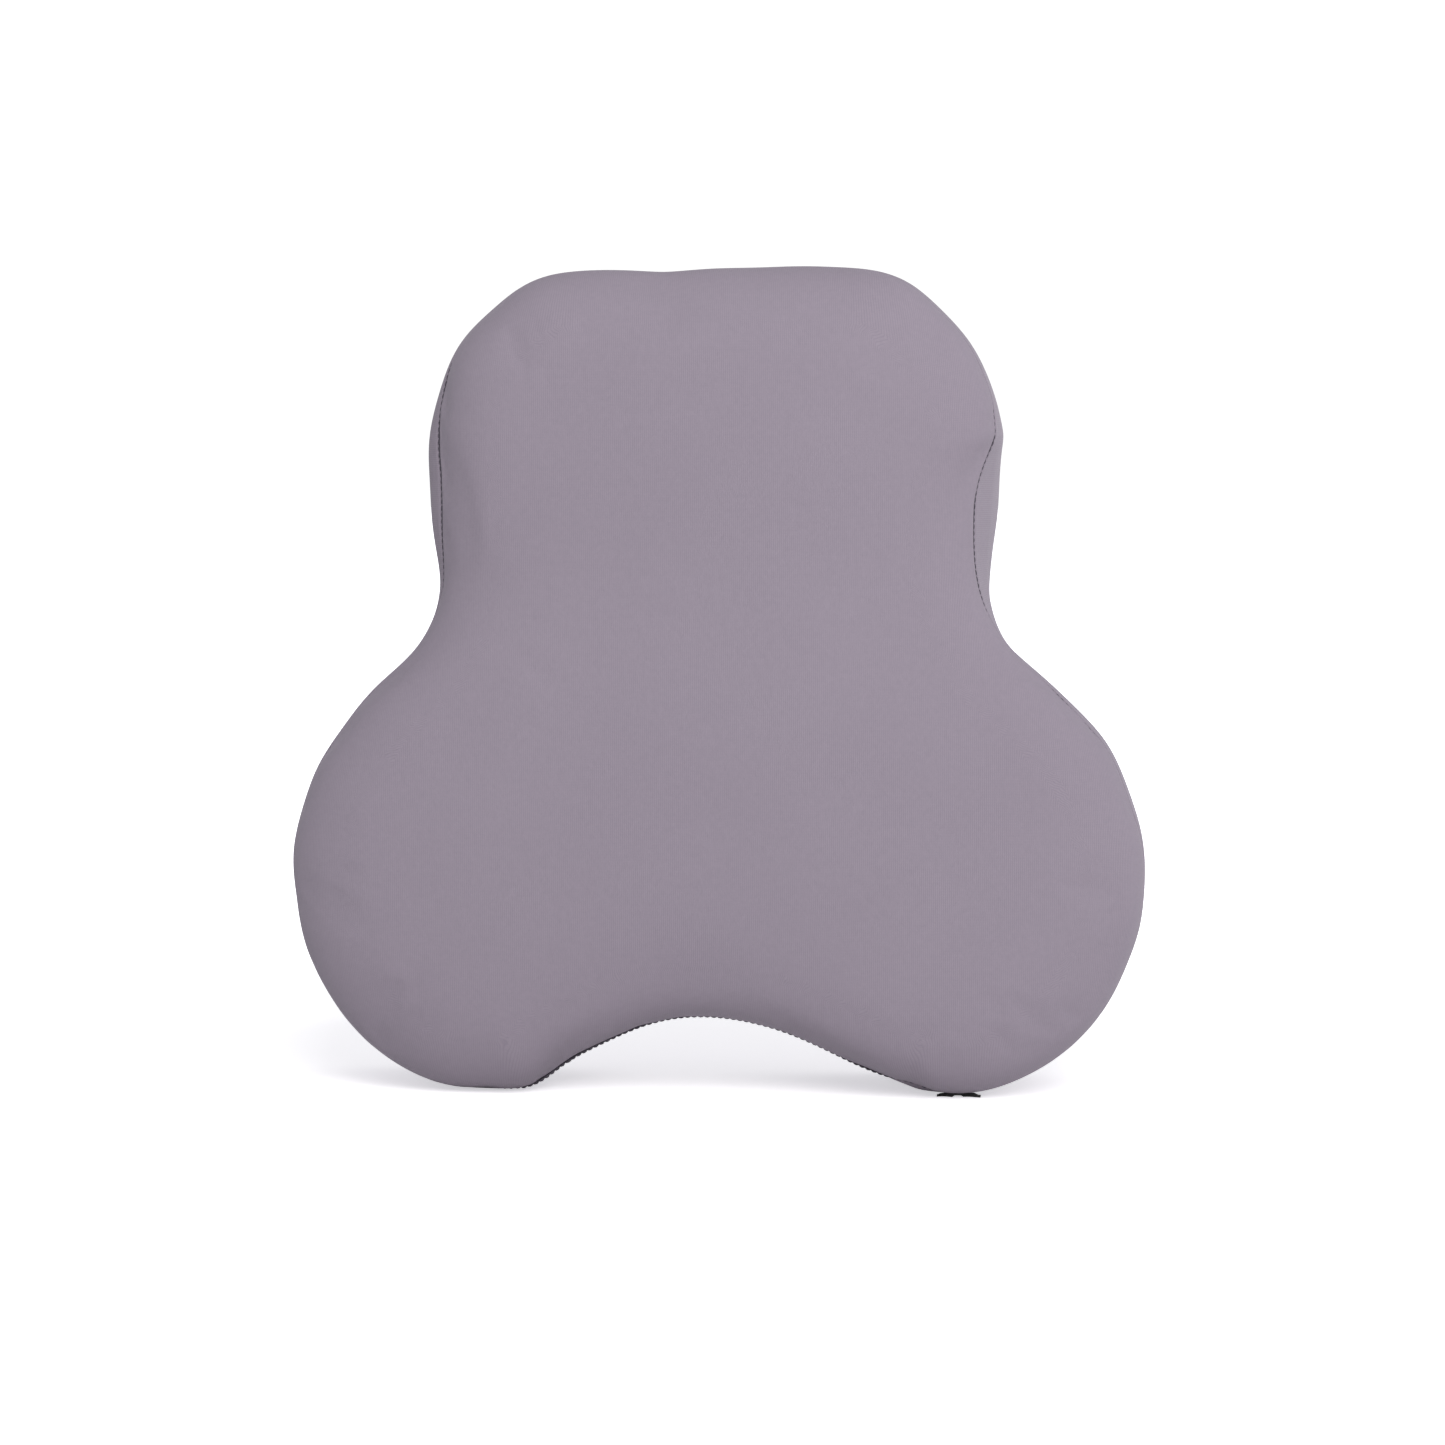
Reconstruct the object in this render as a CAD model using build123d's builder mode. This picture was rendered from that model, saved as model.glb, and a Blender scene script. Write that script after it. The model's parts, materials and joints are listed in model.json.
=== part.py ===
from build123d import *
from math import acos, asin, atan2, cos, degrees, hypot, radians, sin, sqrt
import os

# Three-lobed foam cushion for the back of an office chair, standing on its two
# lower lobes. Millimetres, +Z up, X across, front face towards -Y. The origin is
# on the floor, midway across the width and midway from the front to the buckle.

os.makedirs("parts", exist_ok=True)

# ---- Driving dimensions ----
WIDTH = 391.0
HEIGHT = 377.0
THICKNESS = 100.0
STRAP_BOW = 40.0  # how far the buckle stands out behind the back face
FRONT_Y = -(THICKNESS + STRAP_BOW) / 2
BACK_Y = FRONT_Y + THICKNESS
REAR_Y = BACK_Y + STRAP_BOW

# Outline: two big lower lobes, a narrower upper lobe, a waist and a notch below
LOBE_RADIUS = 110.0
LOBE_CENTRE = (WIDTH / 2 - LOBE_RADIUS, 100.5)
HEAD_RADIUS = 91.5
HEAD_CENTRE = (40.0, 293.0)
WAIST_LEAN = 5.0  # degrees that the upper lobe's sides lean in, going down
SHOULDER_SLOPE = 45.0  # degrees from level, where a lobe runs up to the waist
NOTCH_RADIUS = 122.0
NOTCH_RISE = 33.5
NOTCH_Z = NOTCH_RISE - NOTCH_RADIUS  # height of the notch arc's centre
WAIST_ROUND = 46.0
TOP_ROUND = 60.0
FOOT_OUTER_ROUND = 60.0
FOOT_INNER_ROUND = 32.0
FRONT_ROUND = 26.0
BACK_ROUND = 12.0

# Layers, from the outside in
COVER = 2.4
LINER = 0.8
THREAD_WIDTH = 1.2
THREAD_DEPTH = 0.8
SEAM_SETBACK = 2.0  # from where a rounded edge ends to the seam
FRONT_SEAM_Y = FRONT_Y + FRONT_ROUND + SEAM_SETBACK
BACK_SEAM_Y = BACK_Y - BACK_ROUND - SEAM_SETBACK

# Zip along the notch. Its radii are measured from the notch arc's centre and its
# angles from straight up, positive towards +X.
ZIP_Y = -2.0
ZIP_START = -38.0
ZIP_END = 32.0
ZIP_HALF_WIDTH = 12.0
TAPE_GAP = 1.0
TAPE_SINK = 0.3  # how far the tapes lie behind the cover's outer surface
TAPE_THICKNESS = 0.6
COIL_DROP = 1.4  # how far the coils stand out of it
TAPE_LOW = NOTCH_RADIUS + TAPE_SINK
TAPE_HIGH = TAPE_LOW + TAPE_THICKNESS
COIL_LOW = NOTCH_RADIUS - COIL_DROP
COIL_GAP = 0.15
COIL_INSET = 1.0  # degrees from the end of the tapes to the end of the coils
COIL_HALF_WIDTH = 3.0
SLIDER_ANGLE = 28.0
SLIDER_HALF_ANGLE = 2.4
SLIDER_HALF_WIDTH = 4.6
SLIDER_WALL = 1.1
POST_SPAN = 0.7  # degrees
RUN = 0.3  # running clearance round the slider
PULL_LENGTH = 15.0
PULL_WIDTH = 6.0
PULL_THICKNESS = 1.0
PULL_TILT = 2.0  # degrees that the tab droops from the tangent

# Strap and buckle
STRAP_Z = 290.0
WEB_WIDTH = 30.0
WEB = 1.6
STRAP_Y = REAR_Y - 6.0  # middle of the buckle and of the strap between its bends
FLAP_OUTER_X = 122.0
FLAP_INNER_X = 100.0
BEND_X = 42.0
BEND_ROUND = 14.0
BUCKLE_HALF_WIDTH = 19.0
BUCKLE_HALF_THICKNESS = REAR_Y - STRAP_Y
SOCKET_START_X = -33.0
SOCKET_MOUTH_X = 4.0
PLUG_FACE_X = SOCKET_MOUTH_X + RUN
PLUG_END_X = 31.0
WEB_SLOT = 5.0  # length of the slot that the webbing passes through
WEB_BAR = 3.5  # width of the bar that it turns round
CAVITY_START_X = -17.0
CAVITY_HALF_WIDTH = 15.4
CAVITY_HALF_THICKNESS = 4.0
WINDOW_START_X = -13.5
WINDOW_END_X = -3.5
PRONG_PIVOT_X = 7.0
PRONG_PIVOT_Z = 10.8
PRONG_HALF_THICKNESS = 2.8

CUT_OVERRUN = 1.0  # how far a cutting block runs past what it cuts
MATCH_DISTANCE = 0.01  # how near a corner of the outline lies to its worked-out place


def on_circle(centre, radius, angle):
    """Point on a circle, its angle in degrees counted from +X."""
    return (centre[0] + radius * cos(radians(angle)), centre[1] + radius * sin(radians(angle)))


# ---- The cushion's outline ----
NOTCH_END_X = sqrt(NOTCH_RADIUS**2 - NOTCH_Z**2)
NOTCH_HALF_ANGLE = degrees(acos(-NOTCH_Z / NOTCH_RADIUS))
FOOT_ANGLE = degrees(asin(LOBE_CENTRE[1] / LOBE_RADIUS))
FOOT_OUTER_X = LOBE_CENTRE[0] + LOBE_RADIUS * cos(radians(FOOT_ANGLE))
TOP_ANGLE = degrees(asin((HEIGHT - HEAD_CENTRE[1]) / HEAD_RADIUS))
TOP_CORNER_X = on_circle(HEAD_CENTRE, HEAD_RADIUS, TOP_ANGLE)[0]
SHOULDER_TOP = on_circle(LOBE_CENTRE, LOBE_RADIUS, 90 - SHOULDER_SLOPE)
HEAD_SIDE = on_circle(HEAD_CENTRE, HEAD_RADIUS, -WAIST_LEAN)
LEAN = sin(radians(WAIST_LEAN)) / cos(radians(WAIST_LEAN))
SLOPE = cos(radians(SHOULDER_SLOPE)) / sin(radians(SHOULDER_SLOPE))
# The waist is where the shoulder's line meets the leaning side's line.
WAIST_Z = (
    SHOULDER_TOP[0] + SLOPE * SHOULDER_TOP[1] - HEAD_SIDE[0] + LEAN * HEAD_SIDE[1]
) / (SLOPE + LEAN)
WAIST_X = HEAD_SIDE[0] - LEAN * (HEAD_SIDE[1] - WAIST_Z)


def outline(inset):
    """Face of the front view, every edge moved in by inset."""
    with BuildSketch() as face:
        with BuildLine():
            notch = CenterArc((0, NOTCH_Z), NOTCH_RADIUS, 90, -NOTCH_HALF_ANGLE)
            Line(notch @ 1, (FOOT_OUTER_X, 0))
            sweep_up = FOOT_ANGLE + 90 - SHOULDER_SLOPE
            lobe = CenterArc(LOBE_CENTRE, LOBE_RADIUS, -FOOT_ANGLE, sweep_up)
            Line(lobe @ 1, (WAIST_X, WAIST_Z))
            Line((WAIST_X, WAIST_Z), HEAD_SIDE)
            head = CenterArc(HEAD_CENTRE, HEAD_RADIUS, -WAIST_LEAN, WAIST_LEAN + TOP_ANGLE)
            Line(head @ 1, (0, HEIGHT))
            mirror(about=Plane.YZ)
        make_face()
        for x, z, rounding in (
            (WAIST_X, WAIST_Z, WAIST_ROUND),
            (TOP_CORNER_X, HEIGHT, TOP_ROUND),
            (FOOT_OUTER_X, 0, FOOT_OUTER_ROUND),
            (NOTCH_END_X, 0, FOOT_INNER_ROUND),
        ):
            corners = [v for v in face.vertices() if hypot(abs(v.X) - x, v.Y - z) < MATCH_DISTANCE]
            fillet(corners, rounding)
        if inset:
            offset(amount=-inset)
    return face.sketch


def cushion_body(inset):
    """Closed soft body with a rounded front edge, every face moved in by inset."""
    with BuildPart() as body:
        with BuildSketch(Plane.XZ.offset(inset - BACK_Y)):
            add(outline(inset))
        extrude(amount=THICKNESS - 2 * inset)
        fillet(body.faces().sort_by(Axis.Y)[0].edges(), FRONT_ROUND - inset)
        fillet(body.faces().sort_by(Axis.Y)[-1].edges(), BACK_ROUND - inset)
    return body.part


def seam_ring(seam_y):
    """Thread lying in a groove all round the outline."""
    with BuildPart() as ring:
        with BuildSketch(Plane.XZ.offset(-seam_y)):
            add(outline(0))
            add(outline(THREAD_DEPTH), mode=Mode.SUBTRACT)
        extrude(amount=THREAD_WIDTH / 2, both=True)
    return ring.part


def arch_block(low, high, start, end, front, back):
    """Block bent along the notch, between two radii, two angles and two depths."""
    with BuildPart() as block:
        with BuildSketch(Plane.XZ.offset(-back)):
            with BuildLine():
                inner = CenterArc((0, NOTCH_Z), low, 90 - start, start - end)
                outer = CenterArc((0, NOTCH_Z), high, 90 - start, start - end)
                Line(inner @ 0, outer @ 0)
                Line(inner @ 1, outer @ 1)
            make_face()
        extrude(amount=back - front)
    return block.part


# ---- Foam, liner and cover ----
outer_body = cushion_body(0)
liner_space = cushion_body(COVER)
core_space = cushion_body(COVER + LINER)
front_thread = seam_ring(FRONT_SEAM_Y)
back_thread = seam_ring(BACK_SEAM_Y)

with BuildPart() as foam_core:
    add(core_space)
foam_core.part.label = "foam_core"
export_step(foam_core.part, "parts/foam_core.step")

with BuildPart() as inner_liner:
    add(liner_space)
    add(core_space, mode=Mode.SUBTRACT)
inner_liner.part.label = "inner_liner"
export_step(inner_liner.part, "parts/inner_liner.step")

# Black woven tab folded into the front seam under the +X foot
TAB_MIDDLE_X = 114.0
TAB_LENGTH = 30.0
TAB_THICKNESS = 1.0
TAB_DEPTH = 8.0
TAB_ROUND = 2.0
TAB_BACK_Y = FRONT_SEAM_Y - THREAD_WIDTH
TAB_FRONT_Y = TAB_BACK_Y - TAB_DEPTH

with BuildPart() as seam_tab:
    with BuildSketch(Plane.XY):
        with Locations((TAB_MIDDLE_X, (TAB_FRONT_Y + TAB_BACK_Y) / 2)):
            RectangleRounded(TAB_LENGTH, TAB_DEPTH, TAB_ROUND)
    extrude(amount=TAB_THICKNESS)
seam_tab.part.label = "seam_tab"
export_step(seam_tab.part, "parts/seam_tab.step")

with BuildPart() as cover_front_panel:
    add(outer_body)
    add(liner_space, mode=Mode.SUBTRACT)
    split(bisect_by=Plane.XZ.offset(-FRONT_SEAM_Y), keep=Keep.TOP)
    add(front_thread, mode=Mode.SUBTRACT)
    add(seam_tab.part, mode=Mode.SUBTRACT)
cover_front_panel.part.label = "cover_front_panel"
export_step(cover_front_panel.part, "parts/cover_front_panel.step")

with BuildPart() as cover_back_panel:
    add(outer_body)
    add(liner_space, mode=Mode.SUBTRACT)
    split(bisect_by=Plane.XZ.offset(-BACK_SEAM_Y), keep=Keep.BOTTOM)
    add(back_thread, mode=Mode.SUBTRACT)
cover_back_panel.part.label = "cover_back_panel"
export_step(cover_back_panel.part, "parts/cover_back_panel.step")

zip_slot = arch_block(
    NOTCH_RADIUS - CUT_OVERRUN,
    NOTCH_RADIUS + COVER + CUT_OVERRUN,
    ZIP_START,
    ZIP_END,
    ZIP_Y - ZIP_HALF_WIDTH,
    ZIP_Y + ZIP_HALF_WIDTH,
)

with BuildPart() as cover_side_band:
    add(outer_body)
    add(liner_space, mode=Mode.SUBTRACT)
    split(bisect_by=Plane.XZ.offset(-FRONT_SEAM_Y), keep=Keep.BOTTOM)
    split(bisect_by=Plane.XZ.offset(-BACK_SEAM_Y), keep=Keep.TOP)
    add(front_thread, mode=Mode.SUBTRACT)
    add(back_thread, mode=Mode.SUBTRACT)
    add(zip_slot, mode=Mode.SUBTRACT)
cover_side_band.part.label = "cover_side_band"
export_step(cover_side_band.part, "parts/cover_side_band.step")

with BuildPart() as front_seam_thread:
    add(front_thread)
front_seam_thread.part.label = "front_seam_thread"
export_step(front_seam_thread.part, "parts/front_seam_thread.step")

with BuildPart() as back_seam_thread:
    add(back_thread)
back_seam_thread.part.label = "back_seam_thread"
export_step(back_seam_thread.part, "parts/back_seam_thread.step")

# ---- Zip ----
# The slider's post stands just past the coils' closed end.
POST_GAP = 0.1  # degrees
COIL_END = SLIDER_ANGLE + SLIDER_HALF_ANGLE - POST_SPAN - POST_GAP

for side, facing in (("front", -1), ("rear", 1)):
    tape_edges = sorted((ZIP_Y + facing * TAPE_GAP, ZIP_Y + facing * ZIP_HALF_WIDTH))
    with BuildPart() as zip_tape:
        add(arch_block(TAPE_LOW, TAPE_HIGH, ZIP_START, ZIP_END, *tape_edges))
    zip_tape.part.label = f"zip_tape_{side}"
    export_step(zip_tape.part, f"parts/zip_tape_{side}.step")

    coil_edges = sorted((ZIP_Y + facing * COIL_GAP, ZIP_Y + facing * COIL_HALF_WIDTH))
    with BuildPart() as zip_coil:
        add(arch_block(COIL_LOW, TAPE_LOW, ZIP_START + COIL_INSET, COIL_END, *coil_edges))
    zip_coil.part.label = f"zip_coil_{side}"
    export_step(zip_coil.part, f"parts/zip_coil_{side}.step")

STOP_SPAN = 0.8  # degrees
STOP_GAP_ANGLE = 0.2  # degrees from the slider to the top stops
STOP_INNER_Y = 0.6
STOP_HEIGHT = 0.9

with BuildPart() as zip_top_stops:
    for facing in (-1, 1):
        stop_edges = sorted((ZIP_Y + facing * STOP_INNER_Y, ZIP_Y + facing * COIL_HALF_WIDTH))
        stop_start = SLIDER_ANGLE + SLIDER_HALF_ANGLE + STOP_GAP_ANGLE
        add(arch_block(COIL_LOW, TAPE_LOW, stop_start, stop_start + STOP_SPAN, *stop_edges))
zip_top_stops.part.label = "zip_top_stops"
export_step(zip_top_stops.part, "parts/zip_top_stops.step")

with BuildPart() as zip_bottom_stop:
    add(
        arch_block(
            COIL_LOW - STOP_HEIGHT,
            COIL_LOW,
            ZIP_START + COIL_INSET,
            ZIP_START + COIL_INSET + STOP_SPAN,
            ZIP_Y - COIL_HALF_WIDTH,
            ZIP_Y + COIL_HALF_WIDTH,
        )
    )
zip_bottom_stop.part.label = "zip_bottom_stop"
export_step(zip_bottom_stop.part, "parts/zip_bottom_stop.step")

# The slider's two plates run below the coils and above the tapes. Its lips turn
# up beside the coils, and one post joins the plates between the tapes.
plate_top = COIL_LOW - RUN
plate_bottom = plate_top - SLIDER_WALL
slider_start = SLIDER_ANGLE - SLIDER_HALF_ANGLE
slider_end = SLIDER_ANGLE + SLIDER_HALF_ANGLE
slider_front = ZIP_Y - SLIDER_HALF_WIDTH
slider_back = ZIP_Y + SLIDER_HALF_WIDTH
LIP_WIDTH = SLIDER_HALF_WIDTH - COIL_HALF_WIDTH - RUN
POST_HALF_WIDTH = 0.7
BAIL_RISE = 3.0
BAIL_WALL = 0.9
BAIL_SPAN = 1.5  # degrees either side of its middle
BAIL_LEG_SPAN = 0.5  # degrees
EYE_RADIUS = 0.6
UPPER_WALL = 0.8

with BuildPart() as zip_slider_body:
    add(arch_block(plate_bottom, plate_top, slider_start, slider_end, slider_front, slider_back))
    add(
        arch_block(
            TAPE_HIGH + RUN,
            TAPE_HIGH + RUN + UPPER_WALL,
            slider_start,
            slider_end,
            slider_front,
            slider_back,
        )
    )
    add(
        arch_block(
            plate_top,
            TAPE_HIGH + RUN,
            slider_end - POST_SPAN,
            slider_end,
            ZIP_Y - POST_HALF_WIDTH,
            ZIP_Y + POST_HALF_WIDTH,
        )
    )
    for lip_front in (slider_front, slider_back - LIP_WIDTH):
        lip_back = lip_front + LIP_WIDTH
        add(arch_block(plate_top, TAPE_LOW - RUN, slider_start, slider_end, lip_front, lip_back))
    # Bail: a bridge under the lower plate that the pull tab hangs from
    bail_low = plate_bottom - BAIL_RISE
    bail_start = SLIDER_ANGLE - BAIL_SPAN
    bail_end = SLIDER_ANGLE + BAIL_SPAN
    bail_sides = (ZIP_Y - BAIL_WALL, ZIP_Y + BAIL_WALL)
    add(arch_block(bail_low, plate_bottom, bail_start, bail_end, *bail_sides))
    add(
        arch_block(
            bail_low + BAIL_WALL,
            plate_bottom,
            bail_start + BAIL_LEG_SPAN,
            bail_end - BAIL_LEG_SPAN,
            *bail_sides,
        ),
        mode=Mode.SUBTRACT,
    )
zip_slider_body.part.label = "zip_slider_body"
export_step(zip_slider_body.part, "parts/zip_slider_body.step")

# The pull tab is a flat plate whose cross bar passes through the bail. It lies
# along the closed coils, towards -X, drooping a little.
PULL_RADIUS = bail_low + BAIL_WALL + EYE_RADIUS  # height of the pull's pivot
PULL_PIVOT = on_circle((0, NOTCH_Z), PULL_RADIUS, 90 - SLIDER_ANGLE)
pull_plane = Plane(
    origin=(PULL_PIVOT[0], ZIP_Y, PULL_PIVOT[1]),
    x_dir=(-cos(radians(SLIDER_ANGLE - PULL_TILT)), 0, sin(radians(SLIDER_ANGLE - PULL_TILT))),
    z_dir=(-sin(radians(SLIDER_ANGLE - PULL_TILT)), 0, -cos(radians(SLIDER_ANGLE - PULL_TILT))),
)
PULL_BAR_RADIUS = 0.5
PULL_FRAME = 1.3
PULL_HEEL = 0.7  # how far the tab reaches past its pivot
PULL_WINDOW = 4.6
PULL_ROUND = 0.6
PULL_BAR_INSET = 0.2

with BuildPart() as zip_pull_tab:
    with BuildSketch(pull_plane):
        with Locations(((PULL_LENGTH - PULL_HEEL) / 2, 0)):
            RectangleRounded(PULL_LENGTH + PULL_HEEL, PULL_WIDTH, PULL_ROUND)
        with Locations((PULL_WINDOW / 2, 0)):
            Rectangle(PULL_WINDOW, PULL_WIDTH - 2 * PULL_FRAME, mode=Mode.SUBTRACT)
    extrude(amount=PULL_THICKNESS / 2, both=True)
    with BuildSketch(Plane.XZ.offset(-ZIP_Y)):
        with Locations(PULL_PIVOT):
            Circle(PULL_BAR_RADIUS)
    extrude(amount=PULL_WIDTH / 2 - PULL_BAR_INSET, both=True)
zip_pull_tab.part.label = "zip_pull_tab"
export_step(zip_pull_tab.part, "parts/zip_pull_tab.step")

# ---- Strap ----
# Each half lies flat on the back face where it is sewn, rises away from it along a
# straight slant, and turns parallel again at the buckle.
FLAP_Y = BACK_Y + WEB / 2
SLANT = degrees(atan2(STRAP_Y - FLAP_Y, FLAP_INNER_X - BEND_X))


def strap_half(facing, end_x):
    """Half of the strap, on the side that facing gives, ending at the buckle."""
    with BuildPart() as webbing:
        with BuildSketch(Plane.XY.offset(STRAP_Z - WEB_WIDTH / 2)):
            with BuildLine():
                FilletPolyline(
                    (facing * FLAP_OUTER_X, FLAP_Y),
                    (facing * FLAP_INNER_X, FLAP_Y),
                    (facing * BEND_X, STRAP_Y),
                    (end_x, STRAP_Y),
                    radius=BEND_ROUND,
                )
            trace(line_width=WEB)
        extrude(amount=WEB_WIDTH)
    return webbing.part


with BuildPart() as strap_socket_side:
    add(strap_half(-1, SOCKET_START_X + WEB_BAR + WEB_SLOT / 2))
strap_socket_side.part.label = "strap_socket_side"
export_step(strap_socket_side.part, "parts/strap_socket_side.step")

with BuildPart() as strap_plug_side:
    add(strap_half(1, PLUG_END_X - WEB_BAR - WEB_SLOT / 2))
strap_plug_side.part.label = "strap_plug_side"
export_step(strap_plug_side.part, "parts/strap_plug_side.step")

STITCH_BOX = (16.0, 24.0)
STITCH = 0.8
STITCH_HEIGHT = 0.5
STITCH_OUT = 2.0  # how far the stitched box stands outwards of the flap's middle
STITCH_X = (FLAP_OUTER_X + FLAP_INNER_X) / 2 + STITCH_OUT

with BuildPart() as strap_anchor_stitches:
    with BuildSketch(Plane.XZ.offset(-(BACK_Y + WEB))):
        with Locations((-STITCH_X, STRAP_Z), (STITCH_X, STRAP_Z)):
            Rectangle(*STITCH_BOX)
            Rectangle(STITCH_BOX[0] - 2 * STITCH, STITCH_BOX[1] - 2 * STITCH, mode=Mode.SUBTRACT)
            diagonal = hypot(*STITCH_BOX) - 2 * STITCH
            lean = degrees(atan2(STITCH_BOX[1], STITCH_BOX[0]))
            Rectangle(diagonal, STITCH, rotation=lean)
            Rectangle(diagonal, STITCH, rotation=-lean)
    extrude(amount=-STITCH_HEIGHT)
strap_anchor_stitches.part.label = "strap_anchor_stitches"
export_step(strap_anchor_stitches.part, "parts/strap_anchor_stitches.step")

# ---- Side-release buckle, along X, its width along Z ----
BUCKLE_ROUND = 4.0
BUCKLE_CHAMFER = 0.8
buckle_plane = Plane(origin=(0, STRAP_Y, STRAP_Z), x_dir=(1, 0, 0), z_dir=(0, -1, 0))


def buckle_slab(start, end):
    """Flat block with rounded corners, centred on the strap's line."""
    with BuildPart() as slab:
        with BuildSketch(buckle_plane):
            with Locations(((start + end) / 2, 0)):
                RectangleRounded(end - start, 2 * BUCKLE_HALF_WIDTH, BUCKLE_ROUND)
        extrude(amount=BUCKLE_HALF_THICKNESS, both=True)
        flat_faces = slab.faces().filter_by(Axis.Y)
        chamfer(flat_faces.edges(), BUCKLE_CHAMFER)
    return slab.part


def web_slot(start, end):
    """Slot through a buckle half for the webbing."""
    with BuildPart() as slot:
        with BuildSketch(buckle_plane):
            with Locations(((start + end) / 2, 0)):
                Rectangle(end - start, WEB_WIDTH + 2 * RUN)
        extrude(amount=2 * BUCKLE_HALF_THICKNESS, both=True)
    return slot.part


def web_tunnel(start, end):
    """Flat passage for the webbing under the end bar of a buckle half."""
    with BuildPart() as tunnel:
        with BuildSketch(buckle_plane):
            with Locations(((start + end) / 2, 0)):
                Rectangle(end - start, WEB_WIDTH + 2 * RUN)
        extrude(amount=WEB / 2 + RUN, both=True)
    return tunnel.part


with BuildPart() as buckle_socket:
    add(buckle_slab(SOCKET_START_X, SOCKET_MOUTH_X))
    slot_start = SOCKET_START_X + WEB_BAR
    add(web_slot(slot_start, slot_start + WEB_SLOT), mode=Mode.SUBTRACT)
    add(web_tunnel(SOCKET_START_X - CUT_OVERRUN, slot_start + CUT_OVERRUN), mode=Mode.SUBTRACT)
    with BuildSketch(buckle_plane):
        with Locations(((CAVITY_START_X + SOCKET_MOUTH_X + CUT_OVERRUN) / 2, 0)):
            Rectangle(SOCKET_MOUTH_X + CUT_OVERRUN - CAVITY_START_X, 2 * CAVITY_HALF_WIDTH)
    extrude(amount=CAVITY_HALF_THICKNESS, both=True, mode=Mode.SUBTRACT)
    with BuildSketch(buckle_plane):
        with Locations(((WINDOW_START_X + WINDOW_END_X) / 2, 0)):
            Rectangle(WINDOW_END_X - WINDOW_START_X, 2 * (BUCKLE_HALF_WIDTH + CUT_OVERRUN))
    extrude(amount=CAVITY_HALF_THICKNESS, both=True, mode=Mode.SUBTRACT)
buckle_socket.part.label = "buckle_socket"
export_step(buckle_socket.part, "parts/buckle_socket.step")

TONGUE_END_X = -14.0
TONGUE_HALF_WIDTH = 3.0
TONGUE_HALF_THICKNESS = 2.6
POCKET_HALF_WIDTH = 2.6
PIVOT_RADIUS = 1.8

with BuildPart() as buckle_plug:
    add(buckle_slab(PLUG_FACE_X, PLUG_END_X))
    slot_end = PLUG_END_X - WEB_BAR
    add(web_slot(slot_end - WEB_SLOT, slot_end), mode=Mode.SUBTRACT)
    add(web_tunnel(slot_end - CUT_OVERRUN, PLUG_END_X + CUT_OVERRUN), mode=Mode.SUBTRACT)
    with BuildSketch(buckle_plane):
        with Locations(((TONGUE_END_X + PLUG_FACE_X + CUT_OVERRUN) / 2, 0)):
            Rectangle(PLUG_FACE_X + CUT_OVERRUN - TONGUE_END_X, 2 * TONGUE_HALF_WIDTH)
    extrude(amount=TONGUE_HALF_THICKNESS, both=True)
    # Pockets that hold the roots of the two prongs
    with BuildSketch(buckle_plane):
        with Locations((PRONG_PIVOT_X, PRONG_PIVOT_Z), (PRONG_PIVOT_X, -PRONG_PIVOT_Z)):
            Circle(PIVOT_RADIUS + RUN)
        for facing in (-1, 1):
            with Locations((PLUG_FACE_X - CUT_OVERRUN, facing * PRONG_PIVOT_Z)):
                Rectangle(2 * (PRONG_PIVOT_X - PLUG_FACE_X + CUT_OVERRUN), 2 * POCKET_HALF_WIDTH)
    extrude(amount=PRONG_HALF_THICKNESS + RUN, both=True, mode=Mode.SUBTRACT)
buckle_plug.part.label = "buckle_plug"
export_step(buckle_plug.part, "parts/buckle_plug.step")

ARM_HALF_WIDTH = 1.4
ARM_END_X = -12.8
BARB_SINK = 0.6  # how far the barbs lie below the socket's sides
BARB_TIP = 2.0
BARB_OUT = BUCKLE_HALF_WIDTH - BARB_SINK
BARB_BACK_X = WINDOW_END_X - RUN

for side, facing in (("upper", 1), ("lower", -1)):
    arm_inner = facing * (PRONG_PIVOT_Z - ARM_HALF_WIDTH)
    arm_outer = facing * (PRONG_PIVOT_Z + ARM_HALF_WIDTH)
    with BuildPart() as buckle_prong:
        with BuildSketch(buckle_plane):
            with Locations((PRONG_PIVOT_X, facing * PRONG_PIVOT_Z)):
                Circle(PIVOT_RADIUS)
            with BuildLine():
                Polyline(
                    (PRONG_PIVOT_X, arm_inner),
                    (ARM_END_X, arm_inner),
                    (ARM_END_X, arm_outer),
                    (ARM_END_X + BARB_TIP, facing * BARB_OUT),
                    (BARB_BACK_X, facing * BARB_OUT),
                    (BARB_BACK_X, arm_outer),
                    (PRONG_PIVOT_X, arm_outer),
                    close=True,
                )
            make_face()
        extrude(amount=PRONG_HALF_THICKNESS, both=True)
    buckle_prong.part.label = f"buckle_prong_{side}"
    export_step(buckle_prong.part, f"parts/buckle_prong_{side}.step")

# ---- Strap adjuster on the socket side's slant ----
ADJUSTER_LENGTH = 22.0
ADJUSTER_HALF_THICKNESS = 2.6
ADJUSTER_HALF_WIDTH = 19.0
ADJUSTER_SLOT = 5.5
ADJUSTER_ROUND = 4.0
slant_x = -(FLAP_INNER_X + BEND_X) / 2
slant_y = (FLAP_Y + STRAP_Y) / 2
adjuster_plane = Plane(
    origin=(slant_x, slant_y, STRAP_Z),
    x_dir=(cos(radians(SLANT)), sin(radians(SLANT)), 0),
    z_dir=(sin(radians(SLANT)), -cos(radians(SLANT)), 0),
)

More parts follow.
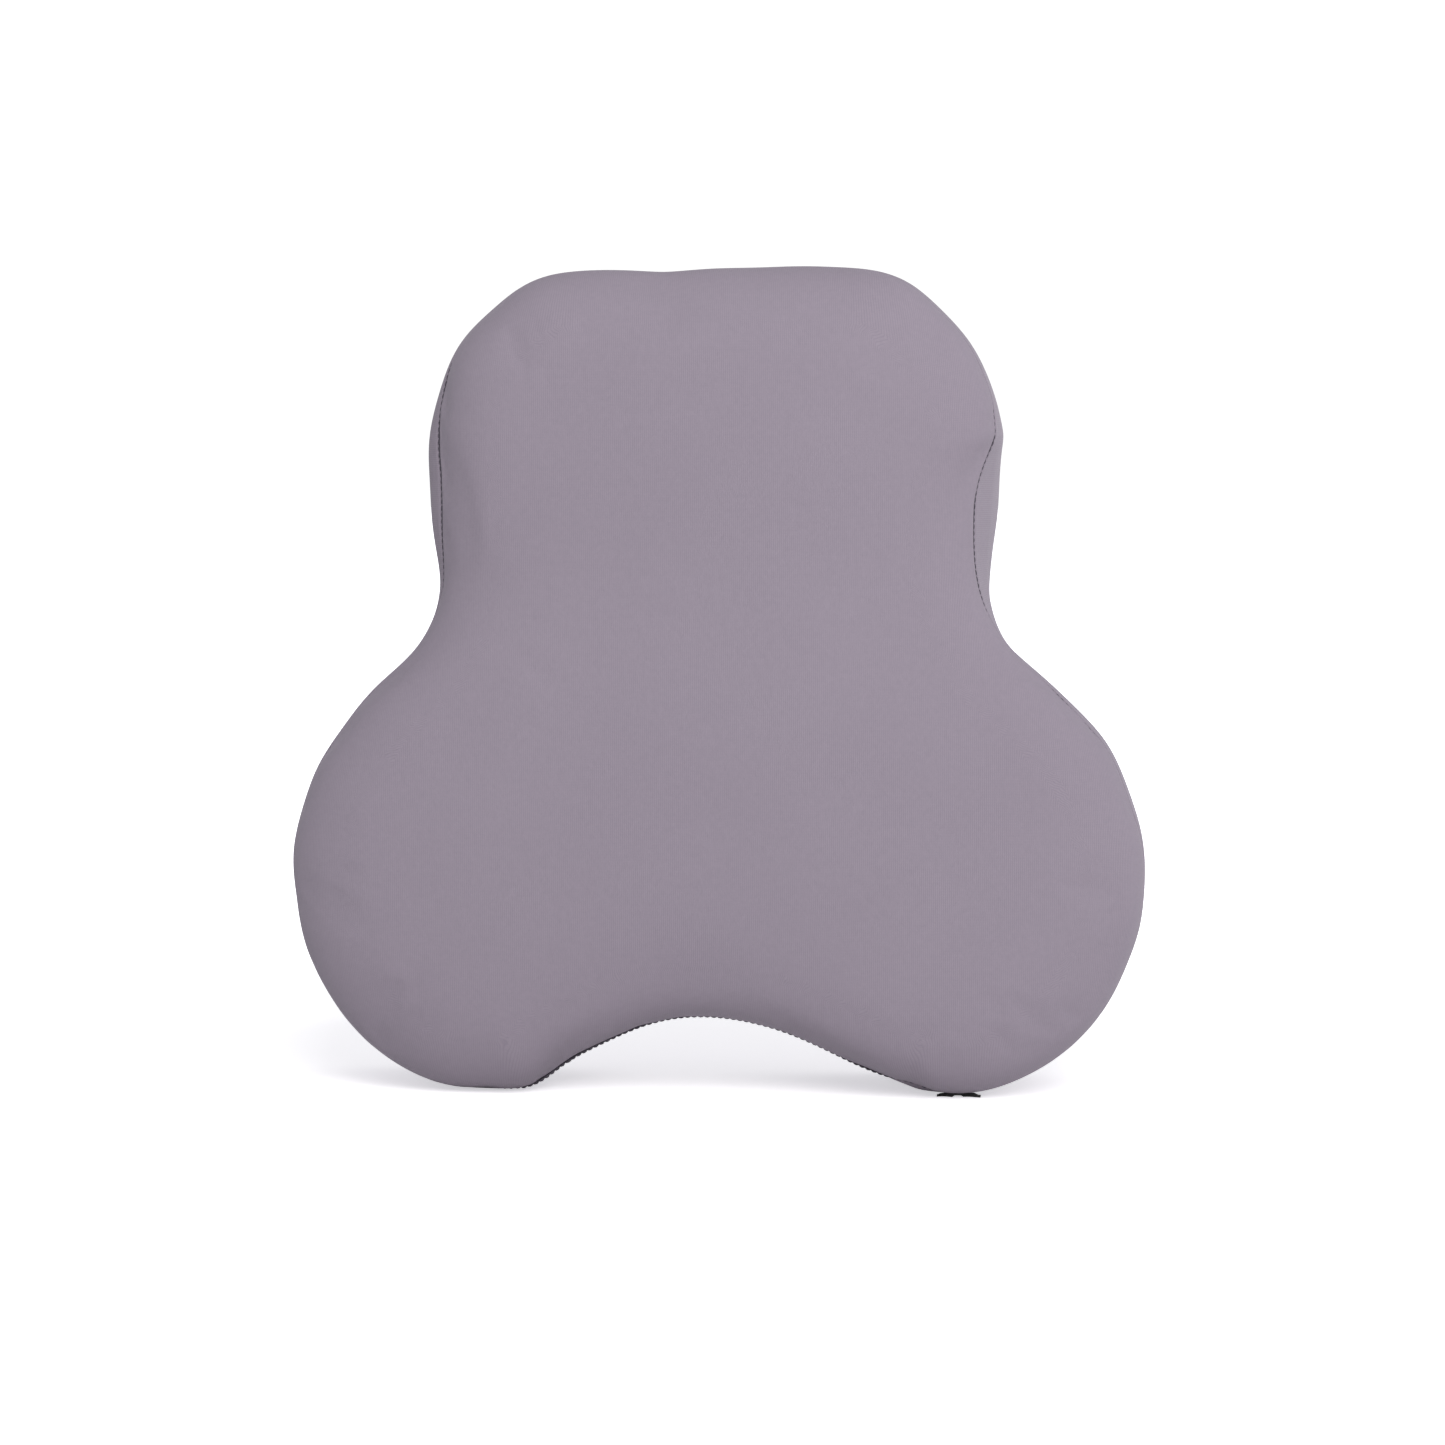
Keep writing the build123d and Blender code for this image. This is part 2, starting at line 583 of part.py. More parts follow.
with BuildPart() as strap_adjuster:
    with BuildSketch(adjuster_plane):
        RectangleRounded(ADJUSTER_LENGTH, 2 * ADJUSTER_HALF_WIDTH, ADJUSTER_ROUND)
        with Locations((-ADJUSTER_SLOT, 0), (ADJUSTER_SLOT, 0)):
            Rectangle(ADJUSTER_SLOT, WEB_WIDTH + 2 * RUN, mode=Mode.SUBTRACT)
    extrude(amount=ADJUSTER_HALF_THICKNESS, both=True)
    with BuildSketch(adjuster_plane):
        Rectangle(ADJUSTER_LENGTH + 2 * CUT_OVERRUN, WEB_WIDTH + 2 * RUN)
    extrude(amount=WEB / 2 + RUN, both=True, mode=Mode.SUBTRACT)
strap_adjuster.part.label = "strap_adjuster"
export_step(strap_adjuster.part, "parts/strap_adjuster.step")

# ---- Blank care label, sewn flat on the back panel ----
LABEL_CENTRE = (-84.0, 96.0)
LABEL_SIZE = (26.0, 40.0)
LABEL_THICKNESS = 0.4
LABEL_ROUND = 1.0

with BuildPart() as care_label:
    with BuildSketch(Plane.XZ.offset(-BACK_Y)):
        with Locations(LABEL_CENTRE):
            RectangleRounded(*LABEL_SIZE, LABEL_ROUND)
    extrude(amount=-LABEL_THICKNESS)
care_label.part.label = "care_label"
export_step(care_label.part, "parts/care_label.step")
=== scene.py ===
import json
import math

import bmesh
import bpy
import numpy as np
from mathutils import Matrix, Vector, geometry
from mathutils.bvhtree import BVHTree


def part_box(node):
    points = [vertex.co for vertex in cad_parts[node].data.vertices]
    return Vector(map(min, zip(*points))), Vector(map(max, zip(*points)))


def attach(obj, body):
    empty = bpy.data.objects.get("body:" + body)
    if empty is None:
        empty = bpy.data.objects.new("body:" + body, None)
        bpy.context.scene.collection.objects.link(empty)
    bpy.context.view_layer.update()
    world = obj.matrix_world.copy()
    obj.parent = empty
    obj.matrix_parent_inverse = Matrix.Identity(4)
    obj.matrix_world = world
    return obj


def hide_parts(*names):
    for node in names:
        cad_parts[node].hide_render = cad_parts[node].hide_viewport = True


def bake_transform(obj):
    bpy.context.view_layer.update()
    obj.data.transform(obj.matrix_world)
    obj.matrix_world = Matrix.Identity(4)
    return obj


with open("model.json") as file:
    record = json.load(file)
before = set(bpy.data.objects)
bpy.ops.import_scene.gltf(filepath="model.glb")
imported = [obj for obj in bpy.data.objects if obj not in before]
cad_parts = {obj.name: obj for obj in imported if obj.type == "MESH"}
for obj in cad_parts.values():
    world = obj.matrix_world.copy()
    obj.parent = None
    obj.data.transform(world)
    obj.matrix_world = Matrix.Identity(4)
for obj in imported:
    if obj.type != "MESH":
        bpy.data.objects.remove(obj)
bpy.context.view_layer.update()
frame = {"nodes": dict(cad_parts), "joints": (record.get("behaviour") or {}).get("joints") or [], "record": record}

# A three-lobed foam cushion in a knit cover, with a zip under its notch and a strap
# behind. Metres, +Z up, front towards -Y, in the CAD model's own frame.
MM = 0.001
noise = np.random.default_rng(7)
joints = {joint["name"]: joint for joint in frame["joints"]}
body_of = {node: name for name, nodes in frame["record"]["behaviour"]["bodies"].items()
           for node in nodes}

# ---- Places read from the frame ----
FRONT_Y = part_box("cover_front_panel")[0].y
BACK_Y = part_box("cover_back_panel")[1].y
HALF_WIDTH, _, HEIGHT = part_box("cover_side_band")[1]
FRONT_SEAM_Y, BACK_SEAM_Y = (sum(corner.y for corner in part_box(side + "_seam_thread")) / 2
                             for side in ("front", "back"))
BODY_CENTRE = Vector((0, 0, 0.38 * HEIGHT))  # every point of the outline is in sight from here
ZIP_LOW, ZIP_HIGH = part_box("zip_tape_front")[0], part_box("zip_tape_rear")[1]
ZIP_Y = (ZIP_LOW.y + ZIP_HIGH.y) / 2
ARCH_CENTRE = Vector(joints["zip_slider_travel"]["pos_m"])  # the notch is an arc about here
TAPE_OUTER = ZIP_HIGH.z - ARCH_CENTRE.z
ZIP_START, ZIP_END = math.asin(ZIP_LOW.x / TAPE_OUTER), math.asin(ZIP_HIGH.x / TAPE_OUTER)

# ---- Shape of the soft body ----
COLUMNS = 480  # points round the outline
EDGE_DEPTH_IN = 36 * MM  # how far the front's rounded edge reaches in from the seam
BACK_EDGE_IN = 18 * MM
NOTCH_EDGE_IN = 20 * MM
FILL_MARGIN = 2.6 * MM  # gap between a panel's rows and the even points inside them
OPEN_EDGE = math.radians(14)  # how far round its ellipse the edge starts at the neck and notch
BACK_SHEET = BACK_Y - 0.4 * MM  # the back panel's plane
SIM_FRAMES = 20
SIM_CAP = 1.5 * MM
SLOT_HALF = 6.5 * MM  # half width of the slot in the band that shows the zip
SLOT_MARGIN = 0.01  # radians that the slot runs past the tapes


def bell(value, centre, width):
    """Smooth bump of height 1 at the centre, its width the standard deviation."""
    return np.exp(-0.5 * ((value - centre) / width) ** 2)


def smooth_step(value, low, high):
    """0 below low, 1 above high, smooth between."""
    t = np.clip((value - low) / (high - low), 0, 1)
    return t * t * (3 - 2 * t)


def smooth_loop(values, width):
    """Circular smoothing along the first axis, its width in samples."""
    reach = int(4 * width)
    offsets = np.arange(-reach, reach + 1)
    weights = np.exp(-0.5 * (offsets / width) ** 2)
    weights /= weights.sum()
    return sum(w * np.roll(values, o, axis=0) for w, o in zip(weights, offsets))


def distance_along(path):
    """How far along a path each of its points lies."""
    return np.concatenate([[0], np.cumsum(np.linalg.norm(np.diff(path, axis=0), axis=1))])


def resampled(path, at):
    """Points of a path at the given distances along it."""
    along = distance_along(path)
    return np.stack([np.interp(at, along, column) for column in path.T], -1)


def closed_loop(values):
    """Values along a loop, with the first repeated at the end."""
    return np.concatenate([values, values[:1]])


def read_outline(node, count):
    """Evenly spaced (x, z) points round the outside of a CAD ring, from the top towards +X."""
    mesh = frame["nodes"][node].data
    tree = BVHTree.FromPolygons([v.co for v in mesh.vertices], [p.vertices for p in mesh.polygons])
    low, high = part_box(node)
    centre = Vector((0, (low.y + high.y) / 2, BODY_CENTRE.z))
    points = []
    for angle in np.linspace(0, 2 * math.pi, 4 * count, endpoint=False):
        ray = Vector((math.sin(angle), 0, math.cos(angle)))
        hit = tree.ray_cast(centre + ray, -ray)[0]
        points.append((hit.x, hit.z))
    loop = closed_loop(np.array(points))
    length = distance_along(loop)[-1]
    even = resampled(loop, np.linspace(0, length, count, endpoint=False))
    return smooth_loop(even, 1.5), length


def outward(points):
    """Unit normals of a closed loop of (x, z) points that runs clockwise."""
    tangent = np.roll(points, -1, axis=0) - np.roll(points, 1, axis=0)
    tangent /= np.linalg.norm(tangent, axis=1)[:, None]
    return np.column_stack([-tangent[:, 1], tangent[:, 0]])


outline, PERIMETER = read_outline("front_seam_thread", COLUMNS)
normals = smooth_loop(outward(outline), 1.5)
normals /= np.linalg.norm(normals, axis=1)[:, None]
out_x, out_z = outline[:, 0], outline[:, 1]
side_x = np.abs(out_x)

# The cover isn't quite even: its top edge rises a little towards +X, and its tight
# fabric spans slight flats on the lobes.
around = np.arange(COLUMNS) / COLUMNS * 2 * math.pi
LOW_PART = 0.05  # height under which the outline belongs to the feet and the notch
at_top = smooth_step(out_z, 0.93 * HEIGHT, 0.99 * HEIGHT)
lift = 1.2 * MM * bell(out_x, 0.047, 0.028) - 1.4 * MM * bell(out_x, -0.015, 0.05)
above_feet = smooth_step(out_z, 0.03, 0.09)
unevenness = 0.4 * MM * np.sin(17 * around + 0.6) + 0.3 * MM * np.sin(31 * around + 2.1)
pucker = 1.0 * MM * bell(out_z, 0.797 * HEIGHT, 4 * MM) * (out_x > 0.1)
# Where the foam is pressed in (-) or stands out (+) of the plain outline: place and amount
presses = sum(amount * MM * bell(np.hypot(out_x - x, out_z - z), 0, width)
              for x, z, width, amount in ((0.108, 0.362, 0.018, -2.2), (-0.098, 0.370, 0.014, -0.9),
                                          (-0.062, 0.377, 0.018, -0.5), (0.078, 0.374, 0.012, -0.8),
                                          (-0.133, 0.281, 0.018, 1.4), (0.129, 0.309, 0.020, -1.7),
                                          (0.125, 0.225, 0.018, -1.6), (-0.142, 0.008, 0.016, -1.2),
                                          (0.140, 0.006, 0.018, -2.2)))
outline = outline + normals * (unevenness * above_feet + pucker + presses)[:, None]
# The waist stands a little towards -X.
outline[:, 0] -= 1.5 * MM * bell(out_z, 0.68 * HEIGHT, 0.05) * (side_x > 0.09)
outline[:, 1] = np.maximum(outline[:, 1] + lift * at_top, 0)

# How far the front seam is drawn in: most at the waist, and not at all on the lobes. In
# the notch only the arch's rise parts it from the outline. +X is drawn in lower down.
waist = sum(share * (side * out_x > 0.09) * bell(out_z, up * HEIGHT, width)
            for side, share, up, width in ((1, 1.0, 0.675, 0.021), (1, 0.75, 0.74, 0.014),
                                           (-1, 0.85, 0.71, 0.026), (-1, 0.45, 0.80, 0.020)))
waist = smooth_loop(waist * smooth_step(out_z, 0.52 * HEIGHT, 0.60 * HEIGHT), 3)
in_notch = smooth_loop((side_x < 0.088) * (out_z < LOW_PART) * 1.0, 5)
# Beside the +X foot the seam is drawn in more, and the band sags below it.
sagging = bell(out_x, 0.090, 0.009) * (out_z < 0.03)
in_notch = np.maximum(in_notch, sagging)
SEAM_TUCK = 0.9 * MM  # how far a seam lies inside the outline before it is drawn in
drawn_in = MM * (7.4 * waist - 1.0 * in_notch + 3.4 * sagging)
# The front seam's arch peaks a little higher than the zip's, towards -X, and is straighter.
arch_rise = in_notch * MM * sum(rise * bell(out_x, x, width) for x, width, rise in (
    (-0.020, 0.026, 3.0), (0.052, 0.016, -1.2), (0.082, 0.009, 3.0), (-0.070, 0.011, 1.6)))
seam_y = FRONT_SEAM_Y + 2.5 * MM - 5 * MM * waist - 1 * MM * in_notch
# On the lobes' shoulders the body narrows towards the back.
taper = (MM * smooth_loop((normals[:, 1] > 0.1) * 1.0, 4) * bell(out_z, 0.205, 0.028)
         * (3.8 * (out_x > 0.1) + 2.4 * (out_x < -0.1)))


def mounds(x, z):
    """How far the front stands out over its flat plane.

    It has a mound on each lobe and one in the middle, and a valley under the head."""
    lobe_x, lobe_z = HALF_WIDTH - 0.108, 0.27 * HEIGHT
    lobes = sum(bell(x, side * lobe_x, 0.062) * bell(z, lobe_z, 0.066) for side in (-1, 1))
    head = bell(x, 0, 0.072) * bell(z, 0.79 * HEIGHT, 0.062)
    middle = bell(x, 0, 0.06) * bell(z, 0.45 * HEIGHT, 0.06)
    valley = bell(z, 0.625 * HEIGHT, 0.026) * (0.35 + 0.65 * smooth_step(np.abs(x), 0.02, 0.12))
    return MM * (9.0 * lobes + 8.5 * head + 5.5 * middle - 3.0 * valley)


def edge_table(reach, drop, start=0.0):
    """Elliptical edge from the seam inwards: arc length, distance in, and share of the drop left.

    Its slope starts upright, or less steep if it starts some way round the ellipse."""
    angle = np.linspace(start, math.pi / 2, 400)
    inward = reach * (1 - np.cos(angle) / math.cos(start))
    left = (1 - np.sin(angle)) / (1 - math.sin(start))
    return distance_along(np.column_stack([inward, left * drop])), inward, left


def read_edge(edge, step):
    """Distance in, and share of the drop left, at some millimetres along an edge's table."""
    length, inward, left = edge
    return np.interp(step * MM, length, inward), np.interp(step * MM, length, left)


def nearest(points, loop):
    """Distance from each (x, z) point to a closed loop of points."""
    parts = np.array_split(points, 1 + len(points) // 2000)
    return np.concatenate([np.linalg.norm(part[:, None] - loop, axis=2).min(1) for part in parts])


class Body:
    """Mesh of the whole soft body, with a place on the cloth for each point."""

    def __init__(self):
        self.points, self.cloth, self.faces, self.panel = [], [], [], []
        self.rows = {}

    def add_points(self, places, depth, cloth):
        """Points from their (x, z) places and depths, and their (x, y) places on the cloth."""
        start = len(self.points)
        y = np.broadcast_to(depth, len(places))
        self.points.extend(zip(places[:, 0], y, places[:, 1]))
        self.cloth.extend((across, up, 0) for across, up in cloth)
        return list(range(start, len(self.points)))

    def add_face(self, face, panel):
        self.faces.append(face)
        self.panel.append(panel)

    def bridge(self, first, second, panel):
        """Quads between two rings of points."""
        for i in range(COLUMNS):
            j = (i + 1) % COLUMNS
            self.add_face((first[i], first[j], second[j], second[i]), panel)

    def fill(self, ring, seam, seam_depth, edge, plane, spacing, panel):
        """Even triangles inside a ring, on a plane that the edge's table bends to the seam."""
        inner = np.array([self.points[i] for i in ring])[:, [0, 2]]
        low, high = inner.min(0), inner.max(0)
        rows = enumerate(np.arange(low[1], high[1], spacing * 0.866))
        grid = np.array([(x, z) for row, z in rows for x in np.arange(
            low[0] + (row % 2) * spacing / 2, high[0], spacing)])
        grid = grid[inside(grid, inner)]
        grid = grid[nearest(grid, inner) > FILL_MARGIN]
        corners = [Vector(p) for p in inner] + [Vector(p) for p in grid]
        result = geometry.delaunay_2d_cdt(corners, [], [list(range(len(inner)))], 1, 1e-7)
        ids = {}
        new_points = []
        for number, origin in enumerate(result[3]):
            if origin and origin[0] < len(inner):
                ids[number] = ring[origin[0]]
            else:
                ids[number] = len(self.points) + len(new_points)
                new_points.append(tuple(result[0][number]))
        flat = np.array(new_points)
        level = plane(flat[:, 0], flat[:, 1])
        share = np.interp(nearest(flat, seam), edge[1], edge[2])
        self.add_points(flat, level + (seam_depth - level) * share, flat)
        for face in result[2]:
            self.add_face(tuple(ids[i] for i in face), panel)


def inside(points, loop):
    """Which points lie inside a closed loop."""
    x, z = points[:, 0][:, None], points[:, 1][:, None]
    ax, az = loop[:, 0][None], loop[:, 1][None]
    bx, bz = np.roll(loop[:, 0], -1)[None], np.roll(loop[:, 1], -1)[None]
    crosses = (az > z) != (bz > z)
    with np.errstate(divide="ignore", invalid="ignore"):
        at = (bx - ax) * (z - az) / (bz - az) + ax
    return (crosses & (x < at)).sum(1) % 2 == 1


# Rows of points: millimetres in from a panel's seam, or shares of the band's width
FRONT_STEPS = [0, 0.7, 1.6, 3.0, 4.8, 7.0, 9.8, 12.8, 16, 19.4, 23, 26.6, 30.4, 34]
BACK_STEPS = [0, 0.7, 1.6, 3.2, 5.4, 8.2, 11.2, 14.4, 18]
NOTCH_SEAM_Y = FRONT_SEAM_Y + 1.5 * MM
SLOT_FRONT, SLOT_REAR = ((ZIP_Y + side * SLOT_HALF - NOTCH_SEAM_Y) / (BACK_SEAM_Y - NOTCH_SEAM_Y)
                         for side in (-1, 1))
HEM = 0.036  # share of the band's width from the slot to its topstitching
BAND_STEPS = [0, 0.012, 0.028, 0.055, 0.10, 0.155, 0.21, 0.27, 0.30, 0.33, 0.345, 0.36, 0.40,
              0.45, SLOT_FRONT - HEM, *np.linspace(SLOT_FRONT, SLOT_REAR, 6), SLOT_REAR + HEM,
              0.885, 0.92, 0.95, 0.972, 0.988, 1.0]
FLARE_STEPS = (0, 0.10, 0.21, 0.30, 0.33, 0.345, 0.36, 0.7, 1.0)  # share of the band's width
FLARE_RIGHT = (1, 0.83, 0.62, 0.42, 0.36, 0.33, 0.31, 0.14, 0)  # share of the inset left there
FLARE_LEFT = (1, 0.30, 0.12, 0.04, 0, 0, 0, 0, 0)

arch_angle = np.arctan2(out_x, out_z - ARCH_CENTRE.z)
near_arch = out_z < 0.12 * HEIGHT
beside_zip = smooth_loop(near_arch * (arch_angle > ZIP_START - 0.08)
                         * (arch_angle < ZIP_END + 0.08) * 1.0, 4)
slot_columns = (near_arch * (arch_angle > ZIP_START - SLOT_MARGIN)
                * (arch_angle < ZIP_END + SLOT_MARGIN))


def flare_share(v):
    """Share of the seam's inset that the band still has at v of its width."""
    right, left = np.interp(v, FLARE_STEPS, FLARE_RIGHT), np.interp(v, FLARE_STEPS, FLARE_LEFT)
    return np.where(out_x > 0, right, left)


def front_plane(x, z):
    """Depth of the front panel away from its edge."""
    return FRONT_Y + 9 * MM - mounds(x, z)


def back_plane(x, z):
    """Depth of the back panel away from its edge."""
    return BACK_SHEET


def build_body():
    """Front panel, side band and back panel as one closed mesh, with its seams on rings."""
    body = Body()
    seam = outline - normals * (SEAM_TUCK + drawn_in + arch_rise)[:, None]
    along = np.arange(COLUMNS) / COLUMNS * PERIMETER
    front_rows = []
    drop = FRONT_SEAM_Y - FRONT_Y - 6 * MM
    front_edge = edge_table(EDGE_DEPTH_IN, drop)
    at_neck = (edge_table(EDGE_DEPTH_IN, drop, OPEN_EDGE), np.clip(waist * 2, 0, 1))
    at_notch = (edge_table(NOTCH_EDGE_IN, drop, OPEN_EDGE), np.clip(in_notch - waist, 0, 1))
    for step in reversed(FRONT_STEPS):
        into, share = read_edge(front_edge, step)
        for edge, weight in (at_neck, at_notch):
            blend = weight * (1 - step / FRONT_STEPS[-1])
            other_into, other_share = read_edge(edge, step)
            into = into + blend * (other_into - into)
            share = share + blend * (other_share - share)
        ring = seam - normals * into[:, None]
        plane = front_plane(ring[:, 0], ring[:, 1])
        y = plane + (seam_y - plane) * share
        front_rows.append(body.add_points(ring, y, seam - normals * step * MM))
    for first, second in zip(front_rows, front_rows[1:]):
        body.bridge(first, second, 0)

    body.fill(front_rows[0], seam, FRONT_SEAM_Y, front_edge, front_plane, 4 * MM, 0)

    # The band flares out from the drawn-in front seam to the full outline, over a third of
    # its width on the -X side and all of it on the +X side. In the notch it meets the
    # outline just behind the seam, but for the arch's rise, which fades by the middle.
    band_rows = [front_rows[-1]]
    for v in BAND_STEPS[1:]:
        y = seam_y + (BACK_SEAM_Y - seam_y) * v
        flare = drawn_in * flare_share(v) * (1 - in_notch)
        sag = drawn_in * in_notch * (1 - smooth_step(v, 0, 0.07))
        tuck = SEAM_TUCK * (1 - math.sin(math.pi * min(v, 1)) ** 0.5)
        hem = 0.6 * MM * beside_zip * smooth_step(v, 0.4, 0.52) * (1 - smooth_step(v, 0.84, 0.96))
        rise = arch_rise * (1 - smooth_step(v, 0, 0.45))
        ring = outline - normals * (flare + sag + tuck + rise - hem + taper * v)[:, None]
        band_rows.append(body.add_points(ring, y, np.column_stack([along, y])))
    for first, second in zip(band_rows, band_rows[1:]):
        body.bridge(first, second, 1)

    back_seam = outline - normals * (SEAM_TUCK + taper)[:, None]
    back_rows = [band_rows[-1]]
    back_edge = edge_table(BACK_EDGE_IN, BACK_Y - BACK_SEAM_Y)
    for step in BACK_STEPS[1:]:
        into, share = read_edge(back_edge, step)
        ring = back_seam - normals * into
        y = BACK_SHEET + (BACK_SEAM_Y - BACK_SHEET) * share
        back_rows.append(body.add_points(ring, y, back_seam - normals * step * MM))
    for first, second in zip(back_rows, back_rows[1:]):
        body.bridge(first, second, 2)

    body.fill(back_rows[-1][::-1], back_seam, BACK_SEAM_Y, back_edge, back_plane, 5 * MM, 2)
    body.rows = {"front": front_rows, "band": band_rows, "back": back_rows}
    whole = new_object("whole", body.points, body.faces)
    face_outwards(whole)
    body.faces = [tuple(face.vertices) for face in whole.data.polygons]
    bpy.data.objects.remove(whole)
    return body


def place_mesh(mesh, material=None):
    """Puts a mesh in the scene, smooth-shaded, as an object of the same name."""
    mesh.polygons.foreach_set("use_smooth", [True] * len(mesh.polygons))
    if material:
        mesh.materials.append(material)
    obj = bpy.data.objects.new(mesh.name, mesh)
    bpy.context.scene.collection.objects.link(obj)
    return obj


def new_object(name, points, faces, material=None):
    """New object from points and faces."""
    mesh = bpy.data.meshes.new(name)
    mesh.from_pydata([tuple(p) for p in points], [], faces)
    mesh.update()
    return place_mesh(mesh, material)


TURN_IN = 2.0 * MM  # depth of the seam allowance that turns in at a seam
HEM_TURN = 1.1 * MM
LINER_DEPTH = 2.6 * MM
FOAM_DEPTH = 3.6 * MM
STRAP_LOW, STRAP_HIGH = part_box("strap_plug_side")
WEB_WIDTH = STRAP_HIGH.z - STRAP_LOW.z
STRAP_Z = STRAP_LOW.z + WEB_WIDTH / 2
STITCHES_LOW, STITCHES_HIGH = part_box("strap_anchor_stitches")
FLAP_X = STITCHES_HIGH.x - 8 * MM  # middle of a sewn flap


def face_outwards(obj):
    """Makes all of a mesh's faces look the same way, outwards."""
    mesh = bmesh.new()
    mesh.from_mesh(obj.data)
    bmesh.ops.recalc_face_normals(mesh, faces=mesh.faces)
    mesh.to_mesh(obj.data)
    mesh.free()


def simulate(body):
    """Inflates the body a little as cloth held at its seams, and caps how far a point moves."""
    rest = np.array(body.points)
    obj = new_object("cloth_source", rest, body.faces)
    held = obj.vertex_groups.new(name="held")
    held.add(body.rows["band"][0] + body.rows["band"][-1], 1.0, "REPLACE")
    x, y, z = rest.T
    on_floor = z < 0.5 * MM
    by_zip = (np.hypot(x, z - ARCH_CENTRE.z) < TAPE_OUTER + 4 * MM) * (np.abs(y - ZIP_Y) < 16 * MM)
    under_flap = ((y > BACK_SHEET - 1 * MM) * (np.abs(np.abs(x) - FLAP_X) < 14 * MM)
                  * (np.abs(z - STRAP_Z) < 19 * MM))
    held.add([int(i) for i in np.flatnonzero(on_floor | by_zip | under_flap)], 1.0, "REPLACE")
    cloth = obj.modifiers.new("cloth", "CLOTH")
    for key, value in dict(quality=4, mass=0.25, tension_stiffness=18, compression_stiffness=18,
                           shear_stiffness=8, bending_stiffness=6, vertex_group_mass="held",
                           use_pressure=True, uniform_pressure_force=5).items():
        setattr(cloth.settings, key, value)
    cloth.settings.effector_weights.gravity = 0
    cloth.point_cache.frame_start = 1
    cloth.point_cache.frame_end = SIM_FRAMES
    scene = bpy.context.scene
    for number in range(1, SIM_FRAMES + 1):
        scene.frame_set(number)
    result = obj.evaluated_get(bpy.context.evaluated_depsgraph_get())
    moved = np.array([v.co for v in result.data.vertices]) - rest
    scene.frame_set(1)
    bpy.data.objects.remove(obj)
    distance = np.linalg.norm(moved, axis=1)
    limit = SIM_CAP * np.tanh(distance / SIM_CAP) / np.maximum(distance, 1e-9)
    return rest + moved * limit[:, None]


def panel_object(name, body, points, skin_normals, panel, material):
    """One of the body's three panels, its seam edges turned in, as its own object."""
    cut, slot_edge = slot_loop(body)
    faces = [f for f, p in zip(body.faces, body.panel) if p == panel and not cut & set(f)]
    used = sorted({i for f in faces for i in f})
    index = {old: new for new, old in enumerate(used)}
    faces = [[index[i] for i in f] for f in faces]
    on_cloth = np.array(body.cloth, float)
    places, cloth = list(points[used]), list(on_cloth[used])
    edges = {0: [(body.rows["band"][0], -1)], 2: [(body.rows["band"][-1], 1)],
             1: [(body.rows["band"][0], 1), (body.rows["band"][-1], -1)]}[panel]
    turned = [(ring, TURN_IN, side) for ring, side in edges]
    if panel == 1:
        turned.append((slot_edge, HEM_TURN, 1))
    for ring, depth, side in turned:
        start = len(places)
        places.extend(points[ring] - skin_normals[ring] * depth)
        cloth.extend(on_cloth[ring])
        count = len(ring)
        for i in range(count):
            j = (i + 1) % count
            face = [index[ring[i]], index[ring[j]], start + j, start + i]
            faces.append(face if side > 0 else face[::-1])
    obj = new_object(name, places, faces, material)
    face_outwards(obj)
    attribute = obj.data.attributes.new("cloth", "FLOAT_VECTOR", "POINT")
    attribute.data.foreach_set("vector", np.array(cloth, np.float32).ravel())
    return obj


def slot_loop(body):
    """The slot over the zip: the band's points inside it, and the loop round its edge."""
    first, last = BAND_STEPS.index(SLOT_FRONT), BAND_STEPS.index(SLOT_REAR)
    grid = np.array(body.rows["band"])[first:last + 1, slot_columns]
    loop = [*grid[0], *grid[1:-1, -1], *grid[-1, ::-1], *grid[-2:0:-1, 0]]
    return set(grid[1:-1, 1:-1].flat), loop


def point_normals(points, faces):
    """Outward unit normal at each point, from the faces round it."""
    total = np.zeros_like(points)
    for size in (3, 4):
        group = np.array([f for f in faces if len(f) == size])
        if len(group):
            corner = points[group]
            normal = np.cross(corner[:, 2] - corner[:, 0], corner[:, -1] - corner[:, 1])
            for k in range(size):
                np.add.at(total, group[:, k], normal)
    return total / np.maximum(np.linalg.norm(total, axis=1), 1e-12)[:, None]


PUCKER = 0.16 * MM  # strength of the fine waves beside the seams


def sink_seams(body, points):
    """Draws each seam down into a groove, with the fabric rolled and puckered beside it."""
    points = points.copy()
    normal = point_normals(points, body.faces)
    rows = body.rows
    groove = ((rows["band"][0], -0.7), (rows["front"][-2], -0.12), (rows["front"][-3], 0.2),
              (rows["front"][-4], 0.14), (rows["band"][1], -0.12), (rows["band"][2], 0.2),
              (rows["band"][-1], -0.8), (rows["band"][-2], -0.15), (rows["band"][-3], 0.2),
              (rows["back"][1], -0.15), (rows["back"][2], 0.2))
    for row, depth in groove:
        points[row] += normal[row] * depth * MM
    beside = [*zip(rows["front"][-7:-1], range(5, -1, -1)), *zip(rows["back"][1:7], range(6))]
    for row, away in beside:
        wave = smooth_loop(noise.normal(size=COLUMNS), 1.2) * PUCKER * math.exp(-away / 2.2)
        points[row] += normal[row] * wave[:, None]
    return points


# ---- Node helpers ----
def node(tree, kind, inputs=None, **settings):
    """A shader node whose inputs are set to values or joined to other nodes' outputs."""
    made = tree.nodes.new(kind)
    for key, value in settings.items():
        setattr(made, key, value)
    for key, value in (inputs or {}).items():
        if isinstance(value, bpy.types.NodeSocket):
            tree.links.new(value, made.inputs[key])
        else:
            made.inputs[key].default_value = value
    return made


def calc(tree, operation, a, b=0.0):
    """Result of a maths node."""
    return node(tree, "ShaderNodeMath", {0: a, 1: b}, operation=operation).outputs[0]


